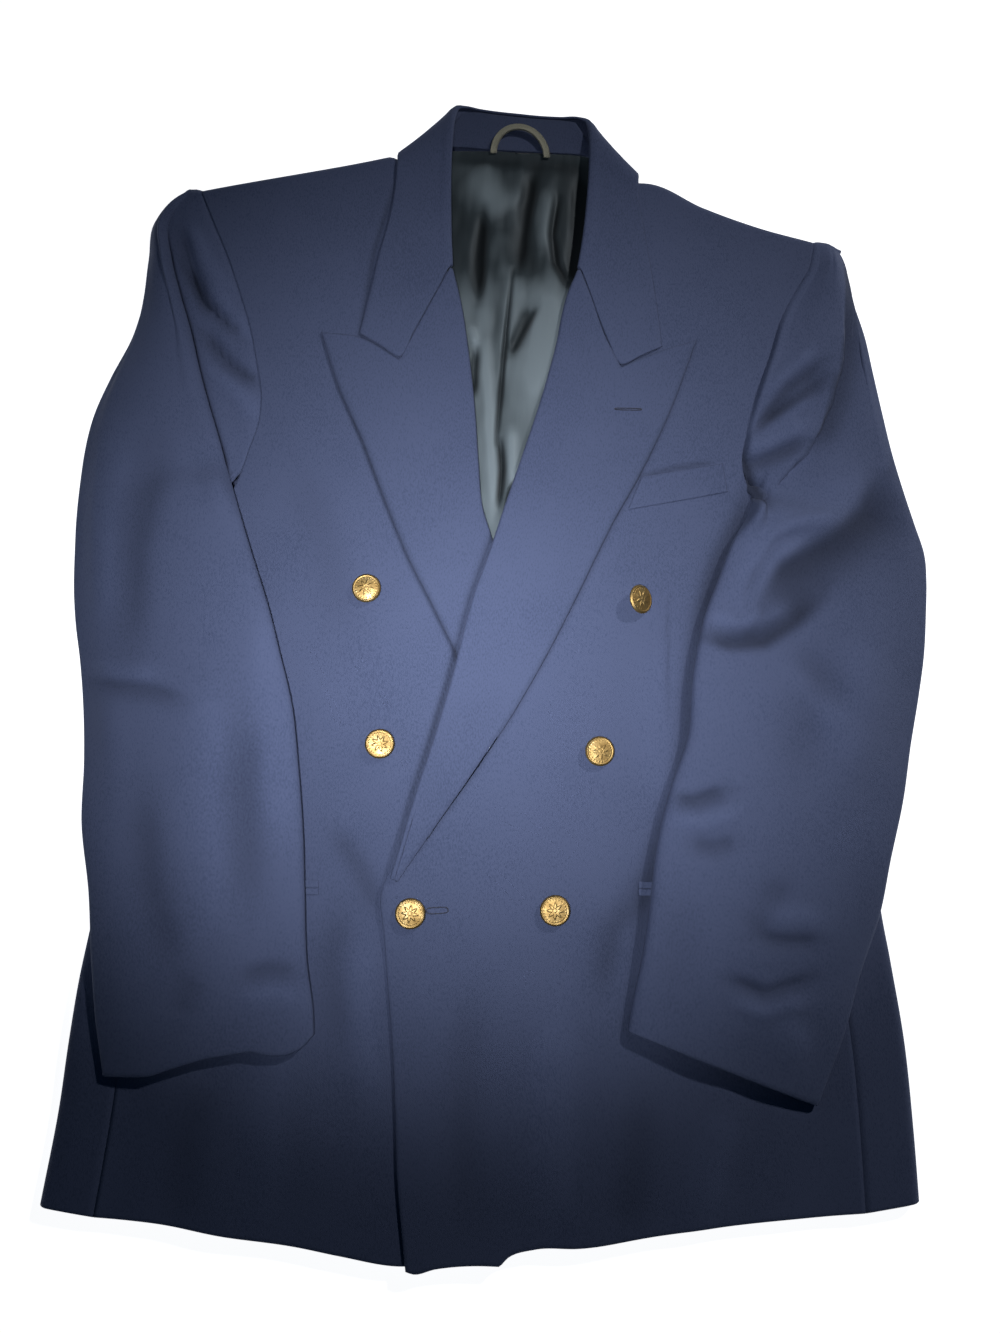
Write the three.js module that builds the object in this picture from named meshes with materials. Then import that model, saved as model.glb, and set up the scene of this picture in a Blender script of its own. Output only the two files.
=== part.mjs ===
// Double breasted blazer laid flat on its back, in millimetres, +Z up.
// X runs to the right of the photo, Y from hem to collar.
// Left and right in the names are the wearer's: the left front is on top.
import * as THREE from "three";

// Cloth and seams
const WALL = 2.0;
const LAPEL_WALL = 2.2;
const LINING_WALL = 1.0;
const TRIM_WALL = 1.0;
const SEAM_GAP = 0.3;

// Heights of the middle of each layer above the table
const BACK_Z = 1.0;
const FRONT_Z = 10.5;
const LINING_Z = 5.4;
const OVERLAP_LIFT = 2.7;
const LAPEL_LIFT = 2.3;
const LAPEL_OVER = 2.5;
const LEFT_LAPEL_LOFT = 0.7;
const SLEEVE_OVER = 3.7;
const SHOULDER_RISE = 8.5;

// Folds
const ROLL_RADIUS = 1.4;
const ROLL_SETBACK = 4.4;
const SIDE_SEAM_UPPER = 38;
const SIDE_SEAM_LOWER = 34;
const SHOULDER_BULGE = 6;
const SHOULDER_TURN = 8;
const INNER_FOLD_DEPTH = 5.6;
const OUTER_FOLD_DEPTH = 6.5;
const SLEEVE_SEAM = 18;

// Buttons
const BUTTON_RADIUS = 10.5;
const BUTTON_EDGE = 1.8;
const BUTTON_DOME = 2.0;
const SHANK_RADIUS = 3.2;
const SHANK_HEIGHT = 2.6;

// Hanging loop
const LOOP_WIDTH = 6.5;
const LOOP_RISE = 4.4;

const lerp = (a, b, t) => a + (b - a) * t;
const clamp = (t) => Math.min(1, Math.max(0, t));
const ease = (a, b, x) => {
  const t = clamp((x - a) / (b - a));
  return t * t * (3 - 2 * t);
};

// Silhouette of each body side, from hem to underarm; v marks the height of the break
const SIDE_RIGHT = [
  { x: -310.5, y: -368.5, v: 0 }, { x: -302, y: -308 }, { x: -298, y: -265 }, { x: -293, y: -220 },
  { x: -286.5, y: -179 }, { x: -285, y: -168, v: 0.5 }, { x: -279, y: -110 }, { x: -272, y: -30 },
  { x: -266, y: 50 }, { x: -262, y: 108, v: 1 },
];
const SIDE_LEFT = [
  { x: 283, y: -366, v: 0 }, { x: 282, y: -321 }, { x: 279, y: -262 }, { x: 272.6, y: -208 },
  { x: 267.4, y: -168, v: 0.5 }, { x: 265, y: -100 }, { x: 264, y: -40 }, { x: 262, y: 50 },
  { x: 260, y: 98, v: 1 },
];
const HEM_DROP = 6.4;
const UNDERARM = 0.6;

// Hem of each front, from its free edge to the side seam
const HEM_LEFT = [
  { x: -62.7, y: -407.5 }, { x: -58, y: -409 }, { x: -43, y: -406 }, { x: -15, y: -404 },
  { x: 0, y: -404.5 }, { x: 4.6, y: -399.6 }, { x: 23.3, y: -394.1 }, { x: 52, y: -393.5 },
  { x: 106, y: -386 }, { x: 169, y: -378.6 }, { x: 245, y: -372.4 },
];
const HEM_RIGHT = [
  { x: 50, y: -391 }, { x: 20, y: -392 }, { x: -10, y: -400 }, { x: -40, y: -403 },
  { x: -65, y: -405.3 }, { x: -107, y: -399 }, { x: -134, y: -393.8 }, { x: -183, y: -387 },
  { x: -232, y: -378.5 }, { x: -272.5, y: -374.9 },
];

// Free edge of each front below its lapel, from hem to break
const EDGE_LEFT = [
  { x: -62.7, y: -407.5, v: 0 }, { x: -65, y: -389 }, { x: -69, y: -353 }, { x: -71, y: -309 },
  { x: -74, y: -261 }, { x: -78, y: -219 }, { x: -81.5, y: -182 }, { x: -83.5, y: -168, v: 0.3 },
  { x: -82, y: -158 },
];
const EDGE_RIGHT = [
  { x: 50, y: -391, v: 0 }, { x: 52, y: -300 }, { x: 52, y: -200 }, { x: 55, y: -168, v: 0.3 },
  { x: 38, y: -140 }, { x: 33, y: -122 },
];

// Neck edge of each front above its roll line, to the neck point
const NECK_LEFT = [{ x: 68, y: 325 }, { x: 77, y: 350 }, { x: 84, y: 372 }];
const NECK_RIGHT = [{ x: -45, y: 330 }, { x: -52, y: 362 }, { x: -59, y: 391 }];

// Armhole of each front, from the side seam's top to the shoulder tip
const ARM_LEFT = [
  { x: 205, y: 106 }, { x: 192, y: 119.5 }, { x: 184, y: 136, v: 0.68 }, { x: 181, y: 152 },
  { x: 184.5, y: 173 }, { x: 193.5, y: 207 }, { x: 204, y: 236 }, { x: 212, y: 261 },
  { x: 225, y: 286 }, { x: 235, y: 303 }, { x: 239, y: 321 },
];
const ARM_RIGHT = [
  { x: -210, y: 118 }, { x: -198, y: 133, v: 0.67 }, { x: -188, y: 163 }, { x: -182, y: 182 },
  { x: -180, y: 203 }, { x: -184, y: 230 }, { x: -190, y: 259 }, { x: -198, y: 285 },
  { x: -208, y: 314 }, { x: -219, y: 340 }, { x: -229, y: 364 },
];

// Shoulder of each front where it starts to turn over, from neck point to tip
const SHOULDER_LEFT = [
  { x: 84, y: 372 }, { x: 99, y: 374 }, { x: 113, y: 374 }, { x: 154.5, y: 352.5 },
  { x: 166.5, y: 346.8 }, { x: 198.7, y: 333.5 }, { x: 239, y: 321 },
];
const SHOULDER_RIGHT = [
  { x: -59, y: 391 }, { x: -72, y: 391 }, { x: -86, y: 397 }, { x: -100, y: 393.4 },
  { x: -157, y: 379.8 }, { x: -229, y: 364 },
];

// Soft folds pressed into the panels, each from one point to another
const FRONT_FOLDS = [
  { x1: 104, y1: -150, x2: 72, y2: -228, width: 13, height: -0.8 },
  { x1: 154, y1: -300, x2: 132, y2: -372, width: 16, height: 1.1 },
  { x1: 60, y1: -270, x2: 30, y2: -392, width: 22, height: -0.9 },
  { x1: -117, y1: -118, x2: -88, y2: -176, width: 14, height: 0.8 },
  { x1: -112, y1: -180, x2: -116, y2: -300, width: 16, height: -0.8 },
  { x1: -200, y1: -300, x2: -190, y2: -386, width: 24, height: 0.9 },
  { x1: -250, y1: -300, x2: -262, y2: -376, width: 18, height: -0.9 },
  { x1: 210, y1: -300, x2: 222, y2: -372, width: 20, height: -0.9 },
  { x1: 150, y1: 250, x2: 120, y2: 150, width: 26, height: 0.9 },
  { x1: -150, y1: 300, x2: -160, y2: 160, width: 26, height: 0.9 },
];
const SLEEVE_FOLDS = [
  { x1: 147, y1: -2, x2: 188, y2: 19, width: 9, height: -2.6 },
  { x1: 188, y1: 19, x2: 240, y2: 74, width: 10, height: -2.4 },
  { x1: 175, y1: 26, x2: 205, y2: 70, width: 8, height: 1.8 },
  { x1: 190, y1: 60, x2: 226, y2: 76, width: 8, height: -1.6 },
  { x1: 118, y1: -119, x2: 148, y2: -111, width: 9, height: -2.0 },
  { x1: 166, y1: -252, x2: 197, y2: -234, width: 8, height: 1.5 },
  { x1: 197, y1: -234, x2: 226, y2: -238, width: 8, height: 1.3 },
  { x1: 186, y1: -213, x2: 225, y2: -215, width: 9, height: -1.5 },
  { x1: 264, y1: -4, x2: 238, y2: -96, width: 16, height: 1.4 },
  { x1: 186, y1: 182, x2: 236, y2: 206, width: 7, height: -2.0 },
  { x1: 192, y1: 167, x2: 230, y2: 196, width: 6, height: 1.6 },
  { x1: 200, y1: 212, x2: 250, y2: 246, width: 8, height: 1.5 },
  { x1: -243, y1: 300, x2: -208, y2: 252, width: 7, height: 1.8 },
  { x1: -231, y1: 242, x2: -184, y2: 198, width: 7, height: 1.8 },
  { x1: -240, y1: 274, x2: -204, y2: 226, width: 6, height: -1.6 },
  { x1: -288, y1: -30, x2: -240, y2: -40, width: 8, height: -1.4 },
  { x1: -183, y1: -90, x2: -190, y2: -190, width: 16, height: 1.2 },
  { x1: -258, y1: -130, x2: -240, y2: -240, width: 14, height: -1.2 },
  { x1: -250, y1: 150, x2: -262, y2: 40, width: 18, height: 1.3 },
];
const LINING_FOLDS = [
  { x1: -10, y1: 395, x2: -16, y2: 225, width: 6, height: 2.1 },
  { x1: 4, y1: 400, x2: -4, y2: 230, width: 5, height: -1.7 },
  { x1: 19, y1: 400, x2: 3, y2: 225, width: 5, height: 2.2 },
  { x1: 32, y1: 390, x2: 20, y2: 250, width: 5, height: -1.8 },
  { x1: 41, y1: 380, x2: 38, y2: 300, width: 6, height: 2.0 },
  { x1: 34, y1: 262, x2: 9, y2: 150, width: 5, height: 1.8 },
  { x1: 2, y1: 222, x2: -1, y2: 100, width: 5, height: -1.9 },
  { x1: 20, y1: 215, x2: 4, y2: 120, width: 4.5, height: -1.5 },
];

// Height of a table of folds at one point, fading past both ends
function foldHeight(folds, x, y) {
  let sum = 0;
  for (const fold of folds) {
    const dx = fold.x2 - fold.x1;
    const dy = fold.y2 - fold.y1;
    const length = Math.hypot(dx, dy);
    const along = ((x - fold.x1) * dx + (y - fold.y1) * dy) / length;
    const across = ((x - fold.x1) * dy - (y - fold.y1) * dx) / length;
    const past = Math.max(0, -along, along - length);
    const reach = Math.hypot(across, past * 0.8) / fold.width;
    sum += fold.height * Math.exp(-reach * reach);
  }
  return sum;
}

// A line through a table of points; v pins a point to a share of the line
function track(points) {
  const marks = points.map((p) => p.v);
  marks[0] = 0;
  marks[points.length - 1] = 1;
  let from = 0;
  for (let i = 1; i < points.length; i++) {
    if (marks[i] === undefined) continue;
    const lengths = [0];
    for (let k = from + 1; k <= i; k++) {
      const step = Math.hypot(points[k].x - points[k - 1].x, points[k].y - points[k - 1].y);
      lengths.push(lengths[lengths.length - 1] + step);
    }
    const total = lengths[lengths.length - 1];
    for (let k = from + 1; k < i; k++) {
      marks[k] = lerp(marks[from], marks[i], lengths[k - from] / total);
    }
    from = i;
  }
  return (t) => {
    let k = 1;
    while (k < points.length - 1 && marks[k] < t) k++;
    const share = clamp((t - marks[k - 1]) / (marks[k] - marks[k - 1]));
    return [
      lerp(points[k - 1].x, points[k].x, share),
      lerp(points[k - 1].y, points[k].y, share),
    ];
  };
}

// x of a side silhouette, or of the cap fold, at a given y
function sideX(table, y) {
  let k = 1;
  while (k < table.length - 1 && table[k].y < y) k++;
  const share = clamp((y - table[k - 1].y) / (table[k].y - table[k - 1].y));
  return lerp(table[k - 1].x, table[k].x, share);
}

// Points of a side seam, set in from the silhouette; at the hem it runs lower
function seamPoint(side, setIn, t) {
  const sign = side === SIDE_RIGHT ? -1 : 1;
  const [x, y] = track(side)(t);
  const drop = HEM_DROP * (setIn / SIDE_SEAM_UPPER) * (1 - ease(0, 0.16, t));
  return { x: x - sign * setIn, y: y - drop };
}
function seamLine(side, setIn) {
  const steps = 12;
  const points = [];
  for (let k = 0; k <= steps; k++) {
    points.push({ ...seamPoint(side, setIn, k / steps), v: (UNDERARM * k) / steps });
  }
  return points;
}

// A line moved sideways by a distance in plan; positive moves it to its left
function offsetLine(points, distance) {
  return points.map((p, k) => {
    const a = points[Math.max(k - 1, 0)];
    const b = points[Math.min(k + 1, points.length - 1)];
    const run = unit([b.x - a.x, b.y - a.y, 0]);
    return { x: p.x - run[1] * distance, y: p.y + run[0] * distance };
  });
}

// Free edge of a front: hem to break, set back along the roll line, then the neck
function frontEdge(low, lapel, sign, neck) {
  const rollUp = [...lapel.roll].reverse();
  const line = offsetLine(rollUp, -sign * ROLL_SETBACK);
  return [...low, ...line.slice(sign > 0 ? 1 : 0), ...neck];
}

// Plan grid between four lines, then given its height
function panelGrid(lines, columns, rows, height) {
  const { bottom, top, left, right } = lines;
  const grid = [];
  for (let j = 0; j <= rows; j++) {
    const v = j / rows;
    const row = [];
    for (let i = 0; i <= columns; i++) {
      const u = i / columns;
      const point = [0, 1].map((axis) => {
        const rails = lerp(left(v)[axis], right(v)[axis], u);
        const ends = lerp(bottom(u)[axis], top(u)[axis], v);
        const low = lerp(bottom(0)[axis], bottom(1)[axis], u);
        const high = lerp(top(0)[axis], top(1)[axis], u);
        return rails + ends - lerp(low, high, v);
      });
      row.push([point[0], point[1], height(point[0], point[1])]);
    }
    grid.push(row);
  }
  return grid;
}

const minus = (a, b) => [a[0] - b[0], a[1] - b[1], a[2] - b[2]];
const along = (a, direction, amount) => a.map((value, k) => value + direction[k] * amount);
const mix = (a, b, t) => a.map((value, k) => lerp(value, b[k], t));
const cross = (a, b) => [
  a[1] * b[2] - a[2] * b[1],
  a[2] * b[0] - a[0] * b[2],
  a[0] * b[1] - a[1] * b[0],
];
const unit = (a) => {
  const length = Math.hypot(...a) || 1;
  return a.map((value) => value / length);
};

// Moves the edges of a grid inwards, in mm, to leave the seam gaps
function inset(grid, amounts) {
  const copy = grid.map((row) => row.map((p) => [...p]));
  const last = grid.length - 1;
  const end = grid[0].length - 1;
  const pull = (p, q, amount) => along(p, unit(minus(q, p)), amount);
  if (amounts.left) copy.forEach((row) => (row[0] = pull(row[0], row[1], amounts.left)));
  if (amounts.right) {
    copy.forEach((row) => (row[end] = pull(row[end], row[end - 1], amounts.right)));
  }
  if (amounts.bottom) {
    copy[0] = copy[0].map((p, i) => pull(p, copy[1][i], amounts.bottom));
  }
  if (amounts.top) {
    copy[last] = copy[last].map((p, i) => pull(p, copy[last - 1][i], amounts.top));
  }
  return copy;
}

// Unit normals of a grid of points
function gridNormals(grid) {
  const rows = grid.length;
  const columns = grid[0].length;
  return grid.map((row, j) =>
    row.map((p, i) => {
      const du = minus(row[Math.min(i + 1, columns - 1)], row[Math.max(i - 1, 0)]);
      const above = grid[Math.min(j + 1, rows - 1)][i];
      const below = grid[Math.max(j - 1, 0)][i];
      return unit(cross(du, minus(above, below)));
    })
  );
}

// Closed body of a given thickness round a grid; upright walls are cut straight down
function wall(grid, thickness, upright) {
  const rows = grid.length;
  const columns = grid[0].length;
  const normals = gridNormals(grid);
  const position = [];
  for (const side of [1, -1]) {
    grid.forEach((row, j) =>
      row.forEach((p, i) => {
        const normal = upright ? [0, 0, 1] : normals[j][i];
        position.push(...along(p, normal, (side * thickness) / 2));
      })
    );
  }
  const shift = rows * columns;
  const id = (j, i, side) => j * columns + i + (side ? shift : 0);
  const index = [];
  const quad = (a, b, c, d) => index.push(a, b, c, a, c, d);
  for (let j = 0; j < rows - 1; j++) {
    for (let i = 0; i < columns - 1; i++) {
      quad(id(j, i, 0), id(j, i + 1, 0), id(j + 1, i + 1, 0), id(j + 1, i, 0));
      quad(id(j, i, 1), id(j + 1, i, 1), id(j + 1, i + 1, 1), id(j, i + 1, 1));
    }
  }
  for (let i = 0; i < columns - 1; i++) {
    quad(id(0, i, 1), id(0, i + 1, 1), id(0, i + 1, 0), id(0, i, 0));
    quad(id(rows - 1, i, 0), id(rows - 1, i + 1, 0), id(rows - 1, i + 1, 1), id(rows - 1, i, 1));
  }
  for (let j = 0; j < rows - 1; j++) {
    quad(id(j, 0, 0), id(j + 1, 0, 0), id(j + 1, 0, 1), id(j, 0, 1));
    quad(id(j, columns - 1, 1), id(j + 1, columns - 1, 1), id(j + 1, columns - 1, 0),
      id(j, columns - 1, 0));
  }
  return closedBody(position, index);
}

// Turns the faces out when the body came out inside out
function closedBody(position, index) {
  let volume = 0;
  const at = (k) => [position[3 * k], position[3 * k + 1], position[3 * k + 2]];
  for (let k = 0; k < index.length; k += 3) {
    const a = at(index[k]);
    const n = cross(at(index[k + 1]), at(index[k + 2]));
    volume += a[0] * n[0] + a[1] * n[1] + a[2] * n[2];
  }
  if (volume < 0) {
    for (let k = 0; k < index.length; k += 3) {
      [index[k + 1], index[k + 2]] = [index[k + 2], index[k + 1]];
    }
  }
  const geometry = new THREE.BufferGeometry();
  geometry.setAttribute("position", new THREE.Float32BufferAttribute(position, 3));
  geometry.setIndex(index);
  geometry.computeVertexNormals();
  return geometry;
}

// Height of the right front, which lies under the left one
function underZ(x, y) {
  const tip = x < 0 ? -236 : 244;
  const reach = clamp(1 - Math.abs(x - tip) / 190);
  const rise = SHOULDER_RISE * ease(0, 1, reach) * ease(150, 330, y);
  const yoke = 1.6 * ease(250, 380, y);
  return FRONT_Z + rise + yoke + foldHeight(FRONT_FOLDS, x, y);
}

// Height of the left front: lifted over the right front and its lapel
function topZ(x, y) {
  const lift = OVERLAP_LIFT + LAPEL_LIFT * ease(-215, -168, y);
  const shown = (1 - ease(104, 175, y)) * (1 - ease(58, 150, x));
  return underZ(x, y) + lift * shown;
}

// Height of the back: flat on the table, lifted over the collar behind the neck
function backZ(x, y) {
  const fall = 396 + (95 - x) * 0.087;
  const lift = 2.6 * ease(fall - 14, fall - 4, y) * ease(-80, -68, x);
  return BACK_Z + lift * (1 - ease(92, 102, x));
}

// Shoulder rows that turn a front over its fold and under, towards the back
function turnShoulder(grid) {
  const edge = grid[grid.length - 1];
  const turns = [60, 20, -25, -60, -90];
  const extra = turns.map(() => []);
  edge.forEach((p, i) => {
    const a = edge[Math.max(i - 1, 0)];
    const b = edge[Math.min(i + 1, edge.length - 1)];
    const run = unit([b[0] - a[0], b[1] - a[1], 0]);
    const out = run[0] > 0 ? [-run[1], run[0], 0] : [run[1], -run[0], 0];
    const half = (p[2] - BACK_Z) / 2;
    turns.forEach((angle, k) => {
      const turn = (angle * Math.PI) / 180;
      const q = along(p, out, SHOULDER_BULGE * Math.cos(turn));
      extra[k].push([q[0], q[1], BACK_Z + half + half * Math.sin(turn)]);
    });
  });
  const under = extra[extra.length - 1].map((q, i) => {
    const p = extra[1][i];
    const out = unit([p[0] - q[0], p[1] - q[1], 0]);
    return along(q, out, -SHOULDER_TURN);
  });
  return [...grid, ...extra, under];
}

function frontLeftGrid() {
  const lines = {
    bottom: track(HEM_LEFT),
    top: track(SHOULDER_LEFT),
    left: track(frontEdge(EDGE_LEFT, LAPEL_LEFT, 1, NECK_LEFT)),
    right: track([...seamLine(SIDE_LEFT, SIDE_SEAM_UPPER), ...ARM_LEFT]),
  };
  return turnShoulder(panelGrid(lines, 10, 20, topZ));
}

function frontRightGrid() {
  const lines = {
    bottom: track(HEM_RIGHT),
    top: track(SHOULDER_RIGHT),
    left: track(frontEdge(EDGE_RIGHT, LAPEL_RIGHT, -1, NECK_RIGHT)),
    right: track([...seamLine(SIDE_RIGHT, SIDE_SEAM_UPPER), ...ARM_RIGHT]),
  };
  return turnShoulder(panelGrid(lines, 10, 20, underZ));
}

// Section of a side panel: flat under, round the side fold, flat on top
function sideGrid(side, sign, height) {
  const rows = 12;
  const grid = [];
  for (let j = 0; j <= rows; j++) {
    const t = j / rows;
    const upper = seamPoint(side, SIDE_SEAM_UPPER, t);
    const top = height(upper.x, upper.y);
    const half = (top - BACK_Z) / 2;
    const row = [];
    for (const setIn of [SIDE_SEAM_LOWER, 16]) {
      const p = seamPoint(side, setIn, t);
      row.push([p.x, p.y, BACK_Z]);
    }
    for (const angle of [-90, -50, -15, 15, 50, 90]) {
      const turn = (angle * Math.PI) / 180;
      const p = seamPoint(side, 7 - 6 * Math.cos(turn), t);
      row.push([p.x, p.y, BACK_Z + half + half * Math.sin(turn)]);
    }
    const p = seamPoint(side, 22, t);
    row.push([p.x, p.y, height(p.x, p.y)]);
    row.push([upper.x, upper.y, top]);
    grid.push(row);
  }
  return grid;
}

// Half of the back; its top runs along the shoulder and round the neck
const BACK_RIGHT = {
  side: SIDE_RIGHT,
  hem: [{ x: -183, y: -385 }, { x: -107, y: -396 }, { x: -13, y: -400 }],
  arm: [
    { x: -213, y: 150 }, { x: -207, y: 200 }, { x: -209, y: 260 }, { x: -216, y: 310 },
    { x: -225, y: 353 },
  ],
  top: [
    { x: -225, y: 353, v: 0 }, { x: -157, y: 369.5 }, { x: -100, y: 383 }, { x: -86, y: 386 },
    { x: -74, y: 379 }, { x: -58, y: 378, v: 0.67 }, { x: -53, y: 402, v: 0.78 },
    { x: -40, y: 412 }, { x: 16, y: 409, v: 1 },
  ],
};
const BACK_LEFT = {
  side: SIDE_LEFT,
  hem: [{ x: 169, y: -376 }, { x: 107, y: -384 }, { x: -13, y: -400 }],
  arm: [
    { x: 212, y: 140 }, { x: 207, y: 190 }, { x: 212, y: 240 }, { x: 222, y: 280 },
    { x: 235, y: 310 },
  ],
  top: [
    { x: 235, y: 310, v: 0 }, { x: 199, y: 322.5 }, { x: 155, y: 341.5 }, { x: 113, y: 363 },
    { x: 99, y: 362.5 }, { x: 83, y: 360.5, v: 0.67 }, { x: 79, y: 392, v: 0.78 },
    { x: 69, y: 405 }, { x: 16, y: 409, v: 1 },
  ],
};

function backGrid(table) {
  const seam = seamLine(table.side, SIDE_SEAM_LOWER);
  const lines = {
    bottom: track([seam[0], ...table.hem]),
    top: track(table.top),
    left: track([...seam, ...table.arm]),
    right: track([{ x: -13, y: -400 }, { x: 16, y: 409 }]),
  };
  return panelGrid(lines, 6, 20, backZ);
}

// Lapel: roll line, outer edge and the gorge with its peak
const LAPEL_LEFT = {
  roll: [
    { x: 59.6, y: 306.6 }, { x: 51.7, y: 287 }, { x: 41.5, y: 241 }, { x: 29, y: 196 },
    { x: 19, y: 165 }, { x: 3, y: 116 }, { x: -5, y: 91 }, { x: -19.6, y: 49 },
    { x: -35, y: -12 }, { x: -47.6, y: -55.5 }, { x: -60, y: -94 }, { x: -70, y: -130 },
    { x: -76.6, y: -152 },
  ],
  edge: [
    { x: 148.6, y: 247 }, { x: 127, y: 190 }, { x: 102, y: 138 }, { x: 84, y: 106 },
    { x: 56, y: 49 }, { x: 35, y: 8 }, { x: 11, y: -34 }, { x: -19, y: -79.5 },
    { x: -45, y: -116 }, { x: -71.5, y: -154 },
  ],
  gorge: [
    { x: 59.6, y: 306.6, v: 0 }, { x: 68, y: 284.5 }, { x: 78, y: 254 },
    { x: 90.7, y: 228, v: 0.5 }, { x: 123.7, y: 241.7, v: 0.8 }, { x: 148.6, y: 249, v: 1 },
  ],
};
const LAPEL_RIGHT = {
  roll: [
    { x: -36.4, y: 308 }, { x: -31, y: 286 }, { x: -23, y: 234 }, { x: -19, y: 196.5 },
    { x: -16, y: 153.5 }, { x: -12.5, y: 116.5 }, { x: -5, y: 92 }, { x: 9.5, y: 30 },
    { x: 27.5, y: -50 }, { x: 40, y: -112 },
  ],
  edge: [
    { x: -135.7, y: 254 }, { x: -122, y: 211.5 }, { x: -104, y: 171 }, { x: -86, y: 124 },
    { x: -67, y: 78 }, { x: -51, y: 46.5 }, { x: -31, y: 6 }, { x: -8, y: -45 },
    { x: 14, y: -98 }, { x: 34, y: -117 },
  ],
  gorge: [
    { x: -36.4, y: 308, v: 0 }, { x: -56, y: 271 }, { x: -75, y: 234, v: 0.5 },
    { x: -108, y: 253, v: 0.8 }, { x: -135.7, y: 256, v: 1 },
  ],
};

// Three points that fold cloth back on itself; inward is the hidden side
function rollFold(tip, towards, inward) {
  const centre = along(tip, towards, ROLL_RADIUS);
  return [
    along(along(centre, inward, ROLL_RADIUS), towards, 0.4),
    along(tip, inward, 0),
    along(centre, inward, -ROLL_RADIUS),
  ];
}

function lapelGrid(table, sign, height, loft) {
  const roll = track(table.roll);
  const edge = track(table.edge);
  const gorge = track(table.gorge);
  const shares = [0.22, 0.5, 0.8, 1];
  const rows = 15;
  const grid = [];
  for (let j = 0; j <= rows; j++) {
    const v = j / rows;
    const [rx, ry] = roll(v);
    const [ex, ey] = edge(v);
    const back = roll(Math.max(v - 0.02, 0));
    const fore = roll(Math.min(v + 0.02, 1));
    const run = unit([fore[0] - back[0], fore[1] - back[1], 0]);
    const inwards = sign > 0 ? [-run[1], run[0], 0] : [run[1], -run[0], 0];
    const lift = loft > 0 ? 2.4 * ease(0.86, 0.97, v) : 0;
    const tip = along([rx, ry, height(rx, ry) + 1.05 + loft + lift], inwards, 1);
    const row = rollFold(tip, inwards, [0, 0, -1]);
    const start = row[2];
    const fade = 1 - ease(0, 0.2, v);
    for (const share of shares) {
      const flat = mix([start[0], start[1], 0], [ex, ey, 0], share);
      const [gx, gy] = gorge(share);
      const chord = mix([table.roll[0].x, table.roll[0].y, 0],
        [table.gorge[table.gorge.length - 1].x, table.gorge[table.gorge.length - 1].y, 0], share);
      const x = flat[0] + (gx - chord[0]) * fade;
      const y = flat[1] + (gy - chord[1]) * fade;
      row.push([x, y, height(x, y) + LAPEL_OVER + loft]);
    }
    grid.push(row);
  }
  return grid;
}

// Collar: rows from one gorge, round behind the neck, to the other
// turn is the way its hidden side faces: -90 down, 0 to the neck, 90 up
const COLLAR = [
  { rx: 60.2, ry: 308, rz: 0, ex: 122.6, ey: 242.5, ez: 0, turn: -90, sag: 1 },
  { rx: 62.5, ry: 320, rz: 0, ex: 121, ey: 262, ez: 0, turn: -90, sag: 0.72 },
  { rx: 65, ry: 336, rz: 0, ex: 117.5, ey: 292, ez: 0, turn: -90, sag: 0.3 },
  { rx: 68.5, ry: 368, rz: 0, ex: 111.5, ey: 334, ez: 0, turn: -90, sag: 0 },
  { rx: 70.4, ry: 396, rz: 0, ex: 107.5, ey: 364, ez: 0, turn: -90, sag: 0 },
  { rx: 70.6, ry: 412, rz: 13.6, ex: 107.5, ey: 378, ez: 16, turn: -78, sag: 0 },
  { rx: 70.3, ry: 426, rz: 12, ex: 107.5, ey: 387.5, ez: 11.5, turn: -40, sag: 0 },
  { rx: 68.5, ry: 436, rz: 8.5, ex: 102, ey: 393, ez: 5.5, turn: 5, sag: 0 },
  { rx: 62, ry: 440.5, rz: 5.5, ex: 92, ey: 397, ez: 1.6, turn: 50, sag: 0 },
  { rx: 48, ry: 441.5, rz: 3.6, ex: 70, ey: 399, ez: 1, turn: 90, sag: 0 },
  { rx: 32, ry: 442.5, rz: 3.5, ex: 42, ey: 402, ez: 1, turn: 90, sag: 0 },
  { rx: 14, ry: 444.5, rz: 3.5, ex: 14, ey: 405, ez: 1, turn: 90, sag: 0 },
  { rx: -3, ry: 446.5, rz: 3.5, ex: -18, ey: 408, ez: 1, turn: 90, sag: 0 },
  { rx: -16, ry: 448.5, rz: 3.6, ex: -44, ey: 411, ez: 1, turn: 90, sag: 0 },
  { rx: -27, ry: 450, rz: 5.5, ex: -64, ey: 412, ez: 1.6, turn: 50, sag: 0 },
  { rx: -33, ry: 448, rz: 8.5, ex: -73, ey: 410, ez: 5.5, turn: 5, sag: 0 },
  { rx: -36, ry: 438, rz: 12, ex: -79, ey: 405.5, ez: 11.5, turn: -40, sag: 0 },
  { rx: -37.4, ry: 420, rz: 13.6, ex: -80, ey: 394, ez: 16, turn: -78, sag: 0 },
  { rx: -38.6, ry: 398, rz: 0, ex: -81.5, ey: 374, ez: 0, turn: -90, sag: 0 },
  { rx: -38.8, ry: 368, rz: 0, ex: -86, ey: 346, ez: 0, turn: -90, sag: 0 },
  { rx: -38.2, ry: 336, rz: 0, ex: -93.5, ey: 316, ez: 0, turn: -90, sag: 0.3 },
  { rx: -37.6, ry: 321, rz: 0, ex: -100, ey: 284, ez: 0, turn: -90, sag: 0.72 },
  { rx: -37, ry: 309.5, rz: 0, ex: -107, ey: 254, ez: 0, turn: -90, sag: 1 },
];
const COLLAR_NOTCH_LEFT = [
  { x: 60.2, y: 308, v: 0 }, { x: 68.8, y: 286 }, { x: 79, y: 255 },
  { x: 91, y: 229.4, v: 0.68 }, { x: 122.6, y: 242.5, v: 1 },
];
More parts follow.
